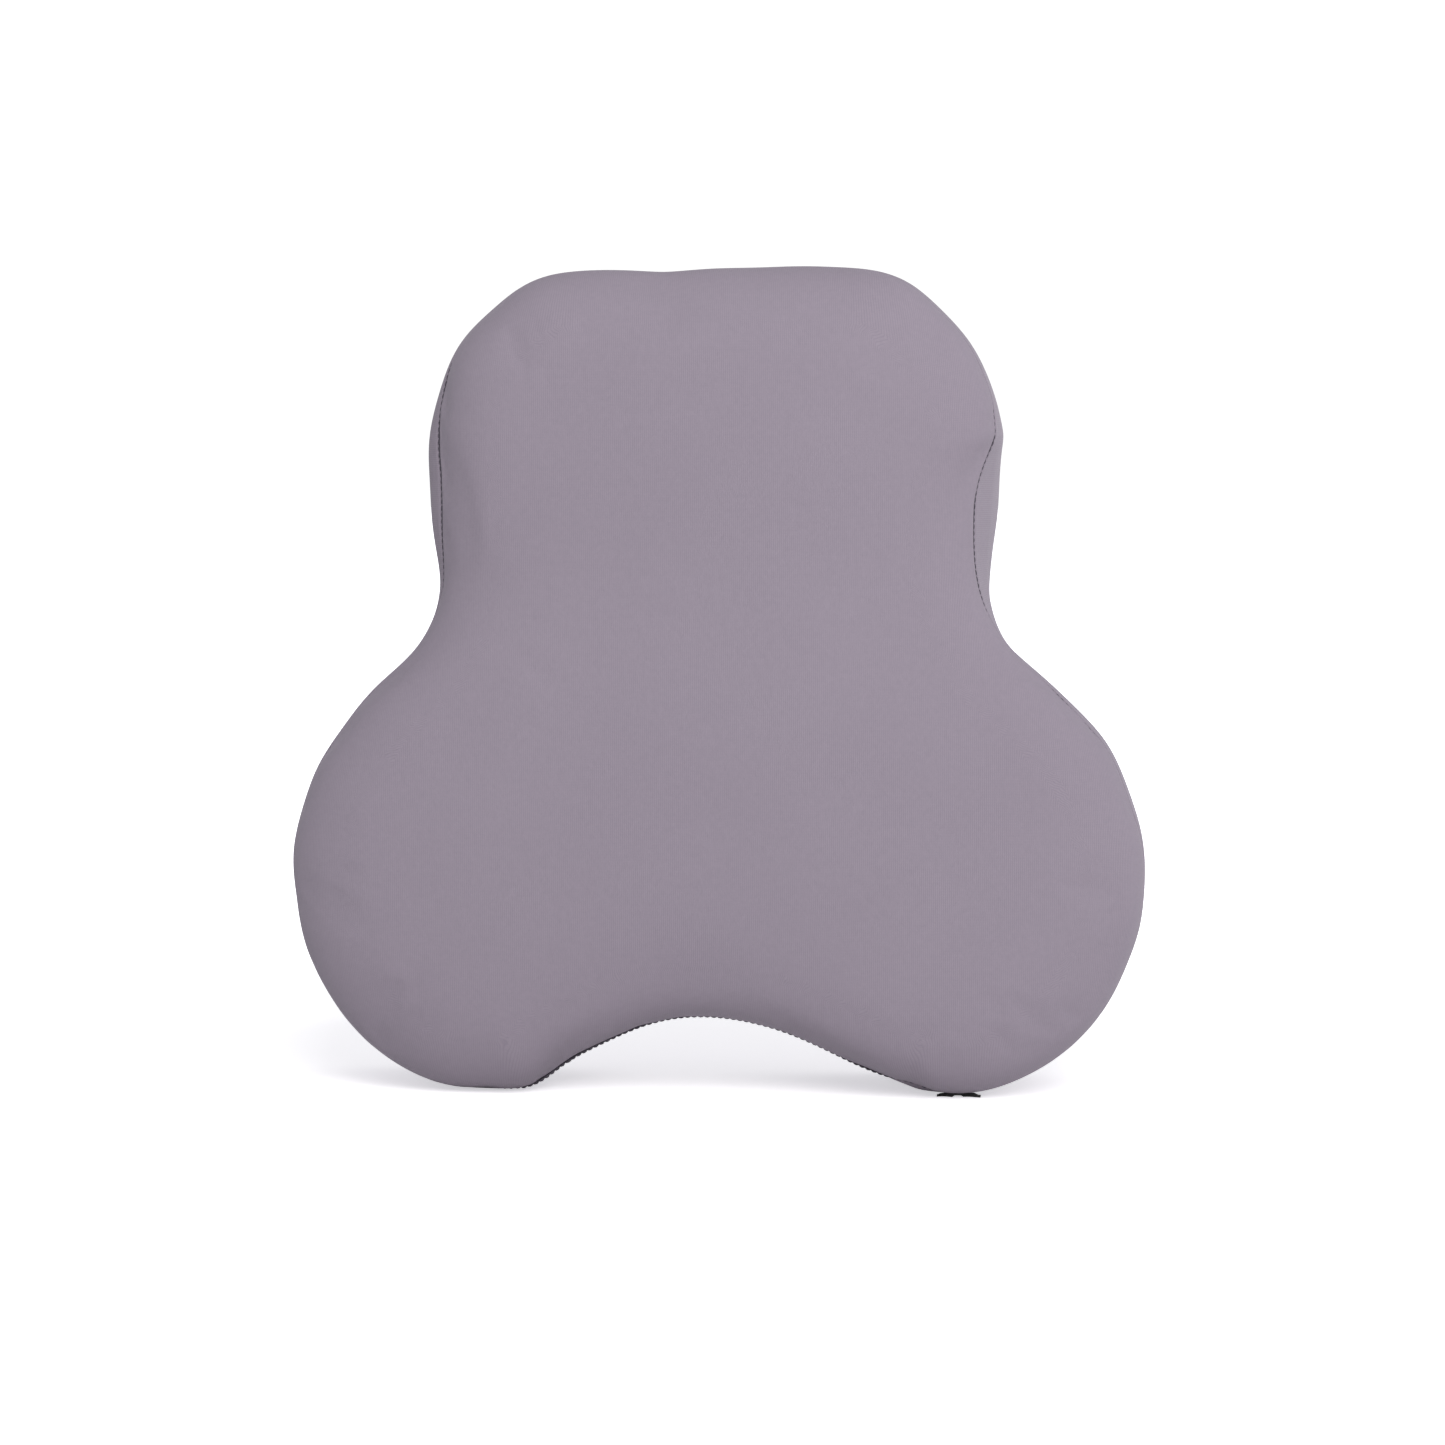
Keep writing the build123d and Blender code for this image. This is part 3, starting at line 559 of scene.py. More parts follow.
def ramp(tree, factor, stops):
    """Colour ramp through (place, colour) stops."""
    made = node(tree, "ShaderNodeValToRGB", {0: factor})
    elements = made.color_ramp.elements
    while len(elements) < len(stops):
        elements.new(0.5)
    for element, (place, colour) in zip(elements, stops):
        element.position = place
        element.color = (*colour, 1)
    return made.outputs[0]


def new_material(name, **constants):
    """Material with its Principled shader's constant sockets set, and its object coordinates."""
    material = bpy.data.materials.new(name)
    material.use_nodes = True
    tree = material.node_tree
    shader = tree.nodes["Principled BSDF"]
    for key, value in constants.items():
        shader.inputs[key.replace("_", " ")].default_value = value
    return material, tree, shader, node(tree, "ShaderNodeTexCoord").outputs["Object"]


def mix(tree, share, first, second, way="MIX"):
    """Two colours blended."""
    return node(tree, "ShaderNodeMix", {0: share, 6: first, 7: second}, data_type="RGBA",
                blend_type=way).outputs[2]


def cover_with(tree, shader, colour, relief, depth, strength=1.0):
    """Gives a shader its colour and a bump from a relief."""
    tree.links.new(colour, shader.inputs["Base Color"])
    bump = node(tree, "ShaderNodeBump", {"Height": relief, "Strength": strength,
                                         "Distance": depth}).outputs[0]
    tree.links.new(bump, shader.inputs["Normal"])


def noise_at(tree, place, scale, detail=3.0, roughness=0.5):
    """Noise of a scale at a place."""
    return node(tree, "ShaderNodeTexNoise", {"Vector": place, "Scale": scale, "Detail": detail,
                                             "Roughness": roughness}).outputs[0]


def linear(*display):
    """Linear colour from display values out of 255."""
    return tuple(v / 12.92 if v <= 0.04045 else ((v + 0.055) / 1.055) ** 2.4
                 for v in (value / 255 for value in display))


WALE = 0.9 * MM
COURSE = 0.7 * MM


def knit_material():
    """Fine stretch knit: rows of small V-shaped loops, a soft sheen, a faint heather, and painted shade that
    darkens the hollows between the loops.
    """
    material, tree, shader, space = new_material(
        "cover_knit", Roughness=0.82, Sheen_Weight=0.22, Sheen_Roughness=0.45, IOR=1.4,
        Sheen_Tint=(0.9, 0.86, 0.95, 1), Specular_IOR_Level=0.25)
    place = node(tree, "ShaderNodeAttribute", attribute_name="cloth").outputs["Vector"]
    parts = node(tree, "ShaderNodeSeparateXYZ", {0: place}).outputs
    wobble = noise_at(tree, space, 60.0, 2.0)
    across = calc(tree, "ADD", calc(tree, "MULTIPLY", parts[0], 1 / WALE),
                  calc(tree, "MULTIPLY", wobble, 1.2))
    wale = calc(tree, "ABSOLUTE", calc(tree, "SINE", calc(tree, "MULTIPLY", across, math.pi)))
    slant = calc(tree, "MULTIPLY", calc(tree, "PINGPONG", across, 0.5), 1.6)
    along = calc(tree, "ADD", calc(tree, "MULTIPLY", parts[1], 1 / COURSE), slant)
    course = calc(tree, "SINE", calc(tree, "MULTIPLY", along, 2 * math.pi))
    along_loop = calc(tree, "ADD", calc(tree, "MULTIPLY", course, 0.3), 0.7)
    loop_height = calc(tree, "MULTIPLY", wale, along_loop)
    fuzz = noise_at(tree, space, 2600.0, 2.0)
    heather = noise_at(tree, space, 420.0, 4.0, 0.7)
    cloud = noise_at(tree, space, 9.0, 2.0)
    base = ramp(tree, cloud, ((0.3, linear(148, 139, 152)), (0.7, linear(151, 142, 155))))
    fleck = ramp(tree, heather, ((0.3, (0.965, 0.965, 0.97)), (0.7, (1.03, 1.028, 1.03))))
    # Painted shade: the colour falls to 0.8 in the hollows between the loops, where shade falls.
    painted_loop_shade = ramp(tree, loop_height, ((0.0, (0.80, 0.79, 0.82)), (0.6, (1.04, 1.04, 1.04))))
    mixed = mix(tree, 0.55, mix(tree, 1.0, base, fleck, "MULTIPLY"), painted_loop_shade, "MULTIPLY")
    relief = calc(tree, "ADD", loop_height, calc(tree, "MULTIPLY", fuzz, 0.5))
    cover_with(tree, shader, mixed, relief, 0.12 * MM, 0.35)
    return material


def thread_material():
    """Dark grey-purple thread, finely mottled."""
    material, tree, shader, space = new_material("seam_thread", Roughness=0.6, Sheen_Weight=0.1)
    twist = noise_at(tree, space, 1500.0, 2.0)
    colour = ramp(tree, twist, ((0.3, linear(46, 42, 52)), (0.7, linear(84, 78, 92))))
    cover_with(tree, shader, colour, twist, 0.1 * MM)
    return material


def cloth_material(name, low, high, scale, grain, roughness=0.9, sheen=0.1):
    """Woven or knitted cloth: two crossed sets of threads and a little fuzz."""
    material, tree, shader, space = new_material(name, Roughness=roughness, Sheen_Weight=sheen)
    warp, weft = (node(tree, "ShaderNodeTexWave", {"Vector": space, "Scale": scale, "Distortion": 0.6},
                       bands_direction=direction).outputs[1] for direction in "XZ")
    fuzz = noise_at(tree, space, 2200.0, 2.0)
    weave = calc(tree, "ADD", calc(tree, "MULTIPLY", warp, weft), calc(tree, "MULTIPLY", fuzz, 0.5))
    colour = ramp(tree, weave, ((0.15, linear(*low)), (0.95, linear(*high))))
    cover_with(tree, shader, colour, weave, grain, 0.6)
    return material


def foam_material():
    """Open-cell memory foam: cream, matt, pitted with fine cells."""
    material, tree, shader, space = new_material("foam", Roughness=0.95)
    cells = node(tree, "ShaderNodeTexVoronoi", {"Vector": space, "Scale": 900.0}).outputs[0]
    colour = ramp(tree, cells, ((0.1, linear(214, 204, 178)), (0.6, linear(240, 233, 212))))
    cover_with(tree, shader, colour, cells, 0.4 * MM)
    return material


def hard_material(name, low, high, wear, roughness, metallic, grain):
    """Moulded plastic or enamelled metal: fine spark texture, edges rubbed lighter."""
    material, tree, shader, space = new_material(name, Metallic=metallic)
    spark = noise_at(tree, space, 1800.0, 3.0, 0.6)
    blotch = noise_at(tree, space, 140.0, 3.0)
    body_colour = ramp(tree, blotch, ((0.3, linear(*low)), (0.7, linear(*high))))
    edge = node(tree, "ShaderNodeNewGeometry").outputs["Pointiness"]
    rubbed = ramp(tree, calc(tree, "ADD", edge, calc(tree, "MULTIPLY", blotch, 0.06)),
                  ((0.545, (0, 0, 0)), (0.64, (1, 1, 1))))
    mixed = mix(tree, rubbed, body_colour, (*linear(*wear), 1))
    rough = ramp(tree, spark, ((0.3, (roughness - 0.06,) * 3), (0.7, (roughness + 0.08,) * 3)))
    tree.links.new(rough, shader.inputs["Roughness"])
    cover_with(tree, shader, mixed, spark, grain, 0.35)
    return material


knit = knit_material()
thread = thread_material()
liner_cloth = cloth_material("liner_knit", (210, 210, 208), (238, 238, 236), 300.0, 0.1 * MM)
tape_cloth = cloth_material("zip_tape", (30, 29, 31), (58, 56, 60), 420.0, 0.1 * MM)
webbing = cloth_material("webbing", (20, 20, 22), (58, 57, 60), 460.0, 0.12 * MM, 0.85, 0.15)
label_cloth = cloth_material("label_cloth", (224, 223, 218), (247, 246, 242), 700.0, 0.05 * MM, 0.6)
foam = foam_material()
plastic = hard_material("buckle_plastic", (26, 26, 28), (34, 34, 36), (74, 74, 78), 0.42, 0.0,
                        0.03 * MM)
zip_metal = hard_material("zip_metal", (30, 30, 32), (40, 40, 43), (150, 148, 144), 0.34, 0.75,
                          0.02 * MM)
nylon = hard_material("zip_nylon", (24, 24, 26), (36, 36, 39), (60, 60, 64), 0.38, 0.0, 0.02 * MM)
white_thread = cloth_material("label_thread", (214, 212, 208), (244, 242, 238), 900.0, 0.05 * MM)


# ---- Small shapes ----
def rods(centres, across, up, widths, sides=6):
    """Points and faces of rods, each a run of rings with closed ends. Arrays are (rod, ring, 3)."""
    count, rings = centres.shape[:2]
    turn = np.arange(sides) / sides * 2 * math.pi
    wide = np.broadcast_to(widths, (count, rings))[:, :, None, None]
    offset = wide * (across[:, :, None] * np.cos(turn)[None, None, :, None]
                     + up[:, :, None] * np.sin(turn)[None, None, :, None])
    points = (centres[:, :, None] + offset).reshape(-1, 3)
    faces = []
    for rod in range(count):
        base = rod * rings * sides
        for ring in range(rings - 1):
            low = base + ring * sides
            for k in range(sides):
                m = (k + 1) % sides
                faces.append((low + k, low + m, low + sides + m, low + sides + k))
        faces.append(tuple(base + k for k in reversed(range(sides))))
        faces.append(tuple(base + (rings - 1) * sides + k for k in range(sides)))
    return points, faces


def unit(vectors):
    """Vectors scaled to length 1."""
    return vectors / np.maximum(np.linalg.norm(vectors, axis=-1, keepdims=True), 1e-12)


def stitches(path, normals, pitch, length, radius, lift, closed=False):
    """Lockstitches end to end along a path, each a short thread that dips into the cloth.

    The thread's radius is one value, or one for each point of the path."""
    radius = np.broadcast_to(radius, len(path))
    if closed:
        path, normals, radius = (closed_loop(values) for values in (path, normals, radius))
    along = distance_along(path)
    count = max(1, round(along[-1] / pitch))
    starts = np.arange(count) * along[-1] / count
    at = starts[:, None] + length * np.array([0, 0.12, 0.5, 0.88, 1])
    centres = resampled(path, at)
    up = unit(np.stack([np.interp(at, along, column) for column in normals.T], -1))
    heading = unit(np.broadcast_to(centres[:, -1:] - centres[:, :1], centres.shape))
    across = unit(np.cross(heading, up))
    height = lift * np.array([-0.9, 0.35, 1, 0.35, -0.9])
    centres = centres + up * height[None, :, None]
    thick = np.interp(starts, along, radius)[:, None] * np.array([[0.35, 0.85, 1, 0.85, 0.35]])
    return rods(centres, across, up, thick)


def assign(obj, rides, node_names):
    """Has an object ride on a body and stand for CAD nodes."""
    if rides:
        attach(obj, rides)
    if node_names:
        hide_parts(*node_names)


def piece(name, shape, material, node_names, rides="cushion"):
    """New object from points and faces, assigned to its body and nodes."""
    obj = new_object(name, *shape, material)
    assign(obj, rides, node_names)
    return obj


def joined(*shapes):
    """Several (points, faces) shapes as one."""
    points, faces = [], []
    for some, more in shapes:
        start = len(points)
        points.extend(some)
        faces.extend(tuple(i + start for i in face) for face in more)
    return points, faces


def two_sided(top, bottom):
    """Closed sheet from two grids of points, each (rows, columns, 3), joined at the rim."""
    rows, columns = top.shape[:2]
    sheet = rows * columns
    faces = []
    for i in range(rows - 1):
        for k in range(columns - 1):
            a = i * columns + k
            faces.append((a, a + 1, a + columns + 1, a + columns))
            faces.append((sheet + a, sheet + a + columns, sheet + a + columns + 1, sheet + a + 1))
    last = (rows - 1) * columns
    rim = (list(range(columns - 1)) + [i * columns + columns - 1 for i in range(rows - 1)]
           + [last + k for k in range(columns - 1, 0, -1)]
           + [i * columns for i in range(rows - 1, 0, -1)])
    for a, b in zip(rim, rim[1:] + rim[:1]):
        faces.append((a, sheet + a, sheet + b, b))
    return np.concatenate([top.reshape(-1, 3), bottom.reshape(-1, 3)]), faces


def softened(node_name, width, material):
    """Copy of a CAD part with its edges rounded over, as a mould leaves them."""
    mesh = bmesh.new()
    mesh.from_mesh(frame["nodes"][node_name].data)
    bmesh.ops.remove_doubles(mesh, verts=mesh.verts, dist=0.004 * MM)
    bmesh.ops.dissolve_limit(mesh, angle_limit=math.radians(2), verts=mesh.verts, edges=mesh.edges)
    sharp = [e for e in mesh.edges if len(e.link_faces) == 2
             and e.calc_face_angle() > math.radians(30)]
    bmesh.ops.bevel(mesh, geom=sharp, offset=width, segments=2, profile=0.5, affect="EDGES",
                    clamp_overlap=True)
    data = bpy.data.meshes.new("moulded_" + node_name)
    mesh.to_mesh(data)
    mesh.free()
    obj = place_mesh(data, material)
    data.set_sharp_from_angle(angle=math.radians(40))
    assign(obj, body_of[node_name], [node_name])


# ---- Foam, liner and the cover's three panels ----
body = build_body()
shape = np.array(body.points)
shape = simulate(body)
shape = sink_seams(body, shape)
skin_normals = point_normals(shape, body.faces)
skin_tree = BVHTree.FromPolygons([Vector(p) for p in shape], body.faces)
for name, node_name, depth, material, slot_name in (
        ("liner", "inner_liner", LINER_DEPTH, liner_cloth, "liner_knit"),
        ("foam_block", "foam_core", FOAM_DEPTH, foam, "foam")):
    layer = (shape - skin_normals * depth, body.faces)
    piece(name, layer, material, [node_name])
for number, name in enumerate(("cover_front_panel", "cover_side_band", "cover_back_panel")):
    panel = panel_object("knit_" + name[6:], body, shape, skin_normals, number, knit)
    smoother = panel.modifiers.new("smooth", "SUBSURF")
    smoother.levels = 1
    smoother.render_levels = 1
    assign(panel, "cushion", [name])


@np.vectorize
def back_surface(x, z):
    """Depth of the back panel's outer surface."""
    return skin_tree.ray_cast(Vector((x, BACK_Y + 50 * MM, z)), Vector((0, -1, 0)))[0].y


# ---- Seams ----
STITCH_PITCH = 3.0 * MM
THREAD = 0.36  # radius in millimetres
# Round the notch the front seam's thread is thicker and stands out of the fabric, most of all on the -X flank.
# Its dark colour there is partly the real seam and partly painted shade for the band's shaded edge
# under the seam; on the -X flank the extra thickness is painted shade.
opened = np.clip(waist * 2 + in_notch, 0, 1)
# Painted shade: the thread grows thicker on the -X flank to stand for the shaded band below the seam.
flank_shade_thickening = bell(out_x, -0.062, 0.024) * (out_z < LOW_PART)
notch_seam_and_shade = smooth_loop((side_x < 0.135) * (out_z < LOW_PART) * 1.0, 4)
front_stands = -0.2 + 0.55 * opened + 0.35 * notch_seam_and_shade * (out_z > 1 * MM) + 0.6 * flank_shade_thickening
front_radius = THREAD + 0.12 * notch_seam_and_shade + 0.36 * flank_shade_thickening
for row, node_name, stands, radius in (
        (0, "front_seam_thread", front_stands, front_radius),
        (-1, "back_seam_thread", np.full(COLUMNS, 0.35), np.full(COLUMNS, THREAD))):
    ring = body.rows["band"][row]
    up = skin_normals[ring]
    path = shape[ring] + up * (stands * MM)[:, None]
    over = stitches(path, up, STITCH_PITCH, length=2.6 * MM, radius=radius * MM, lift=0.22 * MM,
                    closed=True)
    # Under the stitches runs the other thread, a closed dark line. Where it shows between the stitches it is
    # partly painted shade, standing for the seam's shaded turned-in edge.
    line = closed_loop(path - up * 0.12 * MM)
    up = closed_loop(up)
    across = unit(np.cross(unit(np.gradient(line, axis=0)), up))
    under = rods(line[None], across[None], up[None], closed_loop(0.7 * radius * MM))
    piece("stitches_" + node_name[:-7], joined(over, under), thread, [node_name])

# The band is topstitched to the zip tapes along both sides of its slot.
topstitching = []
for number in (BAND_STEPS.index(SLOT_FRONT) - 1, BAND_STEPS.index(SLOT_REAR) + 1):
    row = np.array(body.rows["band"][number])[slot_columns]
    topstitching.append(stitches(shape[row], skin_normals[row], STITCH_PITCH, length=2.4 * MM,
                                 radius=0.35 * MM, lift=0.3 * MM))
piece("stitches_zip_hem", joined(*topstitching), thread, [])


# ---- Zip ----
def on_arch(radius, angle, y):
    """Points beside the notch's arc."""
    radius, angle, y = np.broadcast_arrays(radius, angle, y)
    return np.stack([radius * np.sin(angle), y, ARCH_CENTRE.z + radius * np.cos(angle)], -1)


COIL_PITCH = 1.3 * MM
COIL_WIRE = 0.3 * MM
TURN_POINTS = 12


def coil(side):
    """Nylon wire wound flat along the tape's edge, its heads meshing with the other side's."""
    low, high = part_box("zip_coil_" + ("front" if side < 0 else "rear"))
    outer = high.z - ARCH_CENTRE.z
    start, end = math.asin(low.x / outer), math.asin(high.x / outer)
    reach = high.y - low.y + 0.25 * MM - 2 * COIL_WIRE
    middle = ZIP_Y + side * (reach / 2 - 0.1 * MM + COIL_WIRE)
    turns = int((end - start) * outer / COIL_PITCH)
    phase = np.arange(turns * TURN_POINTS) / TURN_POINTS * 2 * math.pi
    angle = start + (phase / (2 * math.pi) + (side + 1) / 4) * COIL_PITCH / outer
    centre_radius = outer - 0.75 * MM
    squashed = np.sign(np.sin(phase)) * np.abs(np.sin(phase)) ** 0.8
    points = on_arch(centre_radius - 0.5 * MM * squashed, angle,
                     middle - side * reach / 2 * np.cos(phase))
    heading = unit(np.gradient(points, axis=0))
    away = unit(points - on_arch(centre_radius, angle, middle))
    across = unit(np.cross(heading, away))
    up = np.cross(across, heading)
    return rods(points[None], across[None], up[None], COIL_WIRE)


for side, name in ((-1, "front"), (1, "rear")):
    piece("coil_" + name, coil(side), nylon, ["zip_coil_" + name])
    tape = frame["nodes"]["zip_tape_" + name]
    tape.data.materials.clear()
    tape.data.materials.append(tape_cloth)
angles = np.linspace(ZIP_START + 0.02, ZIP_END - 0.02, 200)
seams = [stitches(on_arch(TAPE_OUTER - 0.65 * MM, angles, ZIP_Y + side * 3.7 * MM),
                  -on_arch(1, angles, 0) + np.array([0, 0, ARCH_CENTRE.z]),
                  pitch=2.0 * MM, length=1.7 * MM, radius=0.22 * MM, lift=0.15 * MM)
         for side in (-1, 1)]
piece("stitches_coils", joined(*seams), tape_cloth, [])
for name, width in (("slider_body", 0.25), ("pull_tab", 0.2), ("top_stops", 0.15),
                    ("bottom_stop", 0.15)):
    softened("zip_" + name, width * MM, zip_metal)


# ---- Strap ----
def rounded(corners, radius, step):
    """Evenly spaced points along a path whose corners are turned with arcs."""
    points = [corners[0]]
    for before, corner, after in zip(corners, corners[1:], corners[2:]):
        a, b = unit(before - corner), unit(after - corner)
        half = math.acos(np.clip(a @ b, -1, 1)) / 2
        back = radius / math.tan(half)
        centre = corner + unit(a + b) * radius / math.sin(half)
        first, last = corner + a * back - centre, corner + b * back - centre
        for share in np.linspace(0, 1, 13):
            points.append(centre + unit(first * (1 - share) + last * share) * radius)
    points.append(corners[-1])
    points = np.array(points)
    length = distance_along(points)[-1]
    return resampled(points, np.linspace(0, length, int(length / step)))


WEB = 1.6 * MM
WEB_RIBS = 22
RIB_HEIGHT = 0.13 * MM
BEND_ROUND = 14 * MM
STRAP_Y = STRAP_HIGH.y - WEB / 2
FLAP_Y = STRAP_LOW.y + WEB / 2
# The webbing's slanted run goes through the adjuster's middle, the way that it slides.
ADJUSTER = sum(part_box("strap_adjuster"), Vector()) / 2
SLOPE = joints["adjuster_slide"]["axis"][1] / joints["adjuster_slide"]["axis"][0]
FLAP_INNER_X = -(ADJUSTER.x - (ADJUSTER.y - FLAP_Y) / SLOPE)
BEND_X = -(ADJUSTER.x + (STRAP_Y - ADJUSTER.y) / SLOPE)


def strap(node_name, side, rides):
    """Half of the elastic strap, ribbed along its length, its end sewn to the back panel."""
    low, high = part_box(node_name)
    outer_x, inner_x = (high.x, low.x) if side > 0 else (low.x, high.x)
    corners = [np.array(c) for c in ((outer_x, FLAP_Y), (side * FLAP_INNER_X, FLAP_Y),
                                     (side * BEND_X, STRAP_Y), (inner_x, STRAP_Y))]
    path = rounded(corners, BEND_ROUND, 1.1 * MM)
    heading = unit(np.gradient(path, axis=0))
    normal = np.column_stack([-heading[:, 1], heading[:, 0]]) * -side
    on_back = smooth_step(np.abs(path[:, 0]), FLAP_INNER_X - 3 * MM, FLAP_INNER_X + 4 * MM)
    rest_y = back_surface(path[:, 0], STRAP_Z) + WEB / 2 + 0.1 * MM
    path[:, 1] += on_back * (rest_y - path[:, 1])
    across = np.linspace(-1, 1, WEB_RIBS * 6 + 1)
    ribs = RIB_HEIGHT * np.cos(across * WEB_RIBS * math.pi)
    edge = np.sqrt(np.clip(1 - np.clip(np.abs(across) - 0.95, 0, 1) ** 2 / 0.05**2, 0.12, 1))
    picks = 0.05 * MM * np.cos(np.arange(len(path)) * math.pi)
    half = (WEB / 2 - RIB_HEIGHT + ribs + picks[:, None]) * edge
    z = np.broadcast_to(STRAP_Z + across * WEB_WIDTH / 2, half.shape)
    top, bottom = (np.stack([path[:, :1] + face * half * normal[:, :1],
                             path[:, 1:] + face * half * normal[:, 1:], z], -1) for face in (1, -1))
    obj = piece("elastic_" + node_name, two_sided(top, bottom), webbing, [node_name],
                rides)
    face_outwards(obj)
    return obj


strap("strap_socket_side", -1, "cushion")
moving_strap = strap("strap_plug_side", 1, None)
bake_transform(moving_strap)


def box_stitches(side):
    """A sewn square with a cross, through one flap of the strap."""
    half_z = (STITCHES_HIGH.z - STITCHES_LOW.z) / 2 - 0.4 * MM
    half_x = 7.6 * MM
    corners = [(-half_x, -half_z), (half_x, -half_z), (half_x, half_z), (-half_x, half_z),
               (-half_x, -half_z), (half_x, half_z)]
    runs = list(zip(corners, corners[1:])) + [((-half_x, half_z), (half_x, -half_z))]
    made = []
    for first, last in runs:
        share = np.linspace(0, 1, 12)[:, None]
        flat = np.array(first) * (1 - share) + np.array(last) * share
        x, z = side * FLAP_X + flat[:, 0], STRAP_Z + flat[:, 1]
        y = back_surface(x, STRAP_Z) + WEB + 0.12 * MM
        made.append(stitches(np.column_stack([x, y, z]), np.tile([0.0, 1.0, 0.0], (12, 1)),
                             pitch=2.4 * MM, length=2.0 * MM, radius=0.36 * MM, lift=0.25 * MM))
    return joined(*made)


piece("stitches_strap_anchor", joined(box_stitches(-1), box_stitches(1)), thread,
      ["strap_anchor_stitches"])

for name, width in (("buckle_socket", 0.5), ("buckle_plug", 0.5), ("buckle_prong_upper", 0.35),
                    ("buckle_prong_lower", 0.35), ("strap_adjuster", 0.7)):
    softened(name, width * MM, plastic)


def grip_ribs():
    """Raised bars across both faces of the buckle's plug, for the thumb and finger."""
    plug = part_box("buckle_plug")[1]
    z = STRAP_Z + np.array([-10, -9.7, -8, 0, 8, 9.7, 10]) * MM
    widths = 0.6 * MM * np.array([0.3, 0.8, 1, 1, 1, 0.8, 0.3])
    made = []
    for number in range(4):
        x = np.full(7, plug.x - (20.5 - 2.4 * number) * MM)
        for side in (-1, 1):
            y = np.full(7, STRAP_Y + side * (plug.y - STRAP_Y - 0.12 * MM))
            centres = np.column_stack([x, y, z])[None]
            along_x, along_y = (np.tile(way, (1, 7, 1)) for way in ([1.0, 0, 0], [0, 1.0, 0]))
            made.append(rods(centres, along_x, along_y, widths, sides=10))
    return joined(*made)


piece("buckle_grip_ribs", grip_ribs(), plastic, [], rides="buckle_plug_half")


# ---- Blank care label, sewn along its top edge ----
def label():
    """White label that curls a little towards its free end, with its stitches."""
    low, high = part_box("care_label")
    fall, side = np.meshgrid(np.linspace(0, 1, 31), np.linspace(0, 1, 21), indexing="ij")
    x = low.x + (high.x - low.x) * side
    z = high.z - (high.z - low.z) * fall
    curl = 2.2 * MM * fall**3 * (side - 0.3) ** 2
    ripple = 0.12 * MM * np.abs(np.sin(9 * side + 4 * fall)) * fall
    y = back_surface(x, z) + 0.25 * MM + curl + ripple
    under, over = np.stack([x, y, z], -1), np.stack([x, y + 0.22 * MM, z], -1)
    obj = piece("blank_label", two_sided(over, under), label_cloth, ["care_label"])
    face_outwards(obj)
    x, z = np.linspace(low.x + 1.5 * MM, high.x - 1.5 * MM, 12), np.full(12, high.z - 2 * MM)
    top = np.column_stack([x, back_surface(x, z) + 0.55 * MM, z])
    hem = stitches(top, np.tile([0.0, 1.0, 0.0], (12, 1)), pitch=2.2 * MM, length=1.8 * MM,
                   radius=0.22 * MM, lift=0.15 * MM)
    threads = piece("stitches_label", hem, white_thread, [])


label()


# ---- Black tape end under the +X foot ----
TAPE_END_LENGTH = 20 * MM


def tape_end():
    """Crumpled end of woven tape: two thick folds with an arch between them."""
    low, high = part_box("seam_tab")
    back, share = np.meshgrid(np.linspace(0, 1, 11), np.linspace(0, 1, 49), indexing="ij")
    front = 1 - back
    arch = bell(share, 0.48, 0.075)
    folds = (1.9 * smooth_step(share, -0.05, 0.2) + 0.4 * arch
             - 1.3 * smooth_step(share, 0.7, 1.05) + 0.25 * np.sin(31 * share))
    ripple = 1 + 0.12 * np.sin(14 * share + 5 * back)
    under_foot = 1.1 + 1.6 * front  # how high it may reach below the foot's rising edge
    bottom = MM * np.maximum(1.7 * np.clip(arch * 1.3 - 0.25, 0, 1) * front, 0.1)
    top = np.maximum(MM * np.minimum(folds * ripple, under_foot), bottom + 0.5 * MM)
    x = low.x + 2.3 * MM + TAPE_END_LENGTH * share
    y = high.y + MM * (1.5 + 4 * back + 0.8 * np.sin(11 * share) * front)
    tape = two_sided(np.stack([x, y, top], -1), np.stack([x, y, bottom], -1))
    face_outwards(piece("crumpled_tape_end", tape, webbing, ["seam_tab"]))


tape_end()


# ---- Stage, light and camera ----
def area_light(name, place, size, power, colour):
    """A rectangular light aimed at the cushion's middle."""
    data = bpy.data.lights.new(name, "AREA")
    data.shape = "RECTANGLE"
    data.size, data.size_y = size
    data.energy = power
    data.color = colour
    obj = bpy.data.objects.new(name, data)
    obj.location = place
    obj.rotation_euler = (Vector((0, 0, 0.2)) - obj.location).to_track_quat("-Z", "Y").to_euler()
    bpy.context.scene.collection.objects.link(obj)


AMBIENT = 0.38
# Strength of the floor's painted glow, seen only by the camera and lighting nothing.
FLOOR_GLOW = ((0.25, (0.58,) * 3), (0.7, (1.2,) * 3))  # metres from the middle, and strength
KEY = ((0.8, -2.4, 2.0), (1.8, 1.8), 66)  # place, size and power
RIM = ((2.2, 0.9, 0.9), (1.2, 1.4), 12)


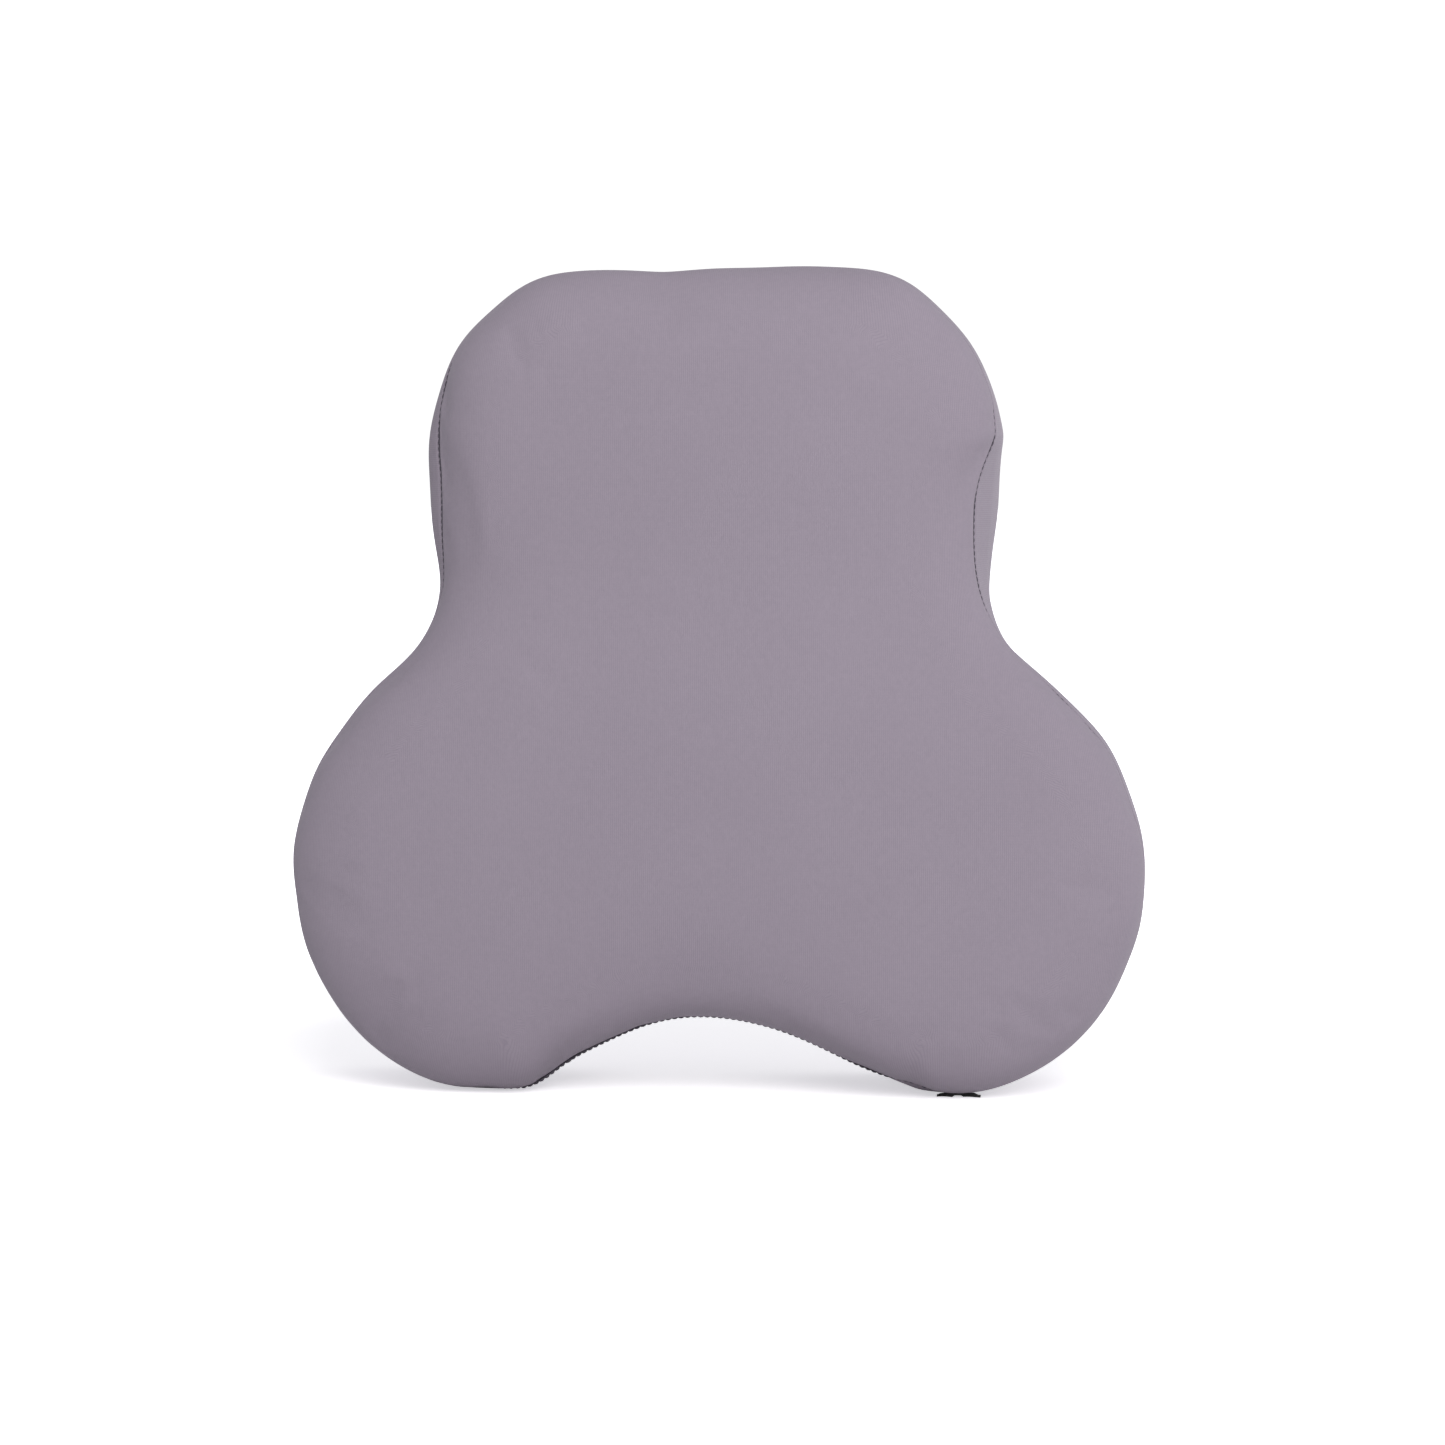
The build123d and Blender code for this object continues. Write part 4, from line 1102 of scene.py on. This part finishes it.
def studio():
    """A white floor with a painted glow that only the camera sees and that lights nothing, a backdrop, soft light
    all round, a key light and a rim light.
    """
    floor = new_object("floor", [(-8, -8, 0), (8, -8, 0), (8, 8, 0), (-8, 8, 0)], [(0, 1, 2, 3)])
    paper, tree, shader, place = new_material("paper", Roughness=0.95, Specular_IOR_Level=0.1,
                                              Base_Color=(0.92, 0.92, 0.92, 1))
    distance = node(tree, "ShaderNodeVectorMath", {0: place}, operation="LENGTH").outputs[1]
    strength = ramp(tree, distance, FLOOR_GLOW)
    # Painted light: the floor's glow is seen only by the camera, lights nothing, and grows from 0.58 near the
    # cushion to 1.2 far off.
    lift = node(tree, "ShaderNodeEmission", {0: (0.97, 0.96, 1, 1), 1: strength})
    seen = node(tree, "ShaderNodeLightPath").outputs["Is Camera Ray"]
    nothing = node(tree, "ShaderNodeEmission", {1: 0.0})
    glow = node(tree, "ShaderNodeMixShader", {0: seen, 1: nothing.outputs[0], 2: lift.outputs[0]})
    whole = node(tree, "ShaderNodeAddShader", {0: shader.outputs[0], 1: glow.outputs[0]})
    tree.links.new(whole.outputs[0], tree.nodes["Material Output"].inputs["Surface"])
    floor.data.materials.append(paper)
    world = bpy.data.worlds.new("studio")
    world.use_nodes = True
    tree = world.node_tree
    light = tree.nodes["Background"]
    light.inputs["Color"].default_value = (0.97, 0.98, 1.0, 1)
    light.inputs["Strength"].default_value = AMBIENT
    backdrop = node(tree, "ShaderNodeBackground", {0: (1, 1, 1, 1), 1: 1.05})
    seen = node(tree, "ShaderNodeLightPath").outputs["Is Camera Ray"]
    both = node(tree, "ShaderNodeMixShader", {0: seen, 1: light.outputs[0], 2: backdrop.outputs[0]})
    tree.links.new(both.outputs[0], tree.nodes["World Output"].inputs["Surface"])
    bpy.context.scene.world = world
    area_light("key", *KEY, (1, 0.985, 0.96))
    area_light("rim", *RIM, (1, 0.99, 0.98))


CAMERA_DISTANCE = 1.85
LENS = 100
AZIMUTH = math.radians(4.5)
FRAME_WIDTH = 2 * HALF_WIDTH / 0.6  # the cushion fills 0.6 of the picture's width
EYE_HEIGHT = 0.33
TARGET = Vector((0.0039, FRONT_Y + 0.02, 0.1715))
camera_data = bpy.data.cameras.new("camera")
camera_data.lens = LENS
camera_data.sensor_width = LENS * FRAME_WIDTH / CAMERA_DISTANCE
camera = bpy.data.objects.new("camera", camera_data)
camera.location = TARGET + CAMERA_DISTANCE * Vector((math.sin(AZIMUTH), -math.cos(AZIMUTH), 0))
camera.location.z = EYE_HEIGHT
camera.rotation_euler = (TARGET - camera.location).to_track_quat("-Z", "Y").to_euler()
bpy.context.scene.collection.objects.link(camera)
bpy.context.scene.camera = camera
bpy.context.scene.view_settings.view_transform = "Standard"
studio()
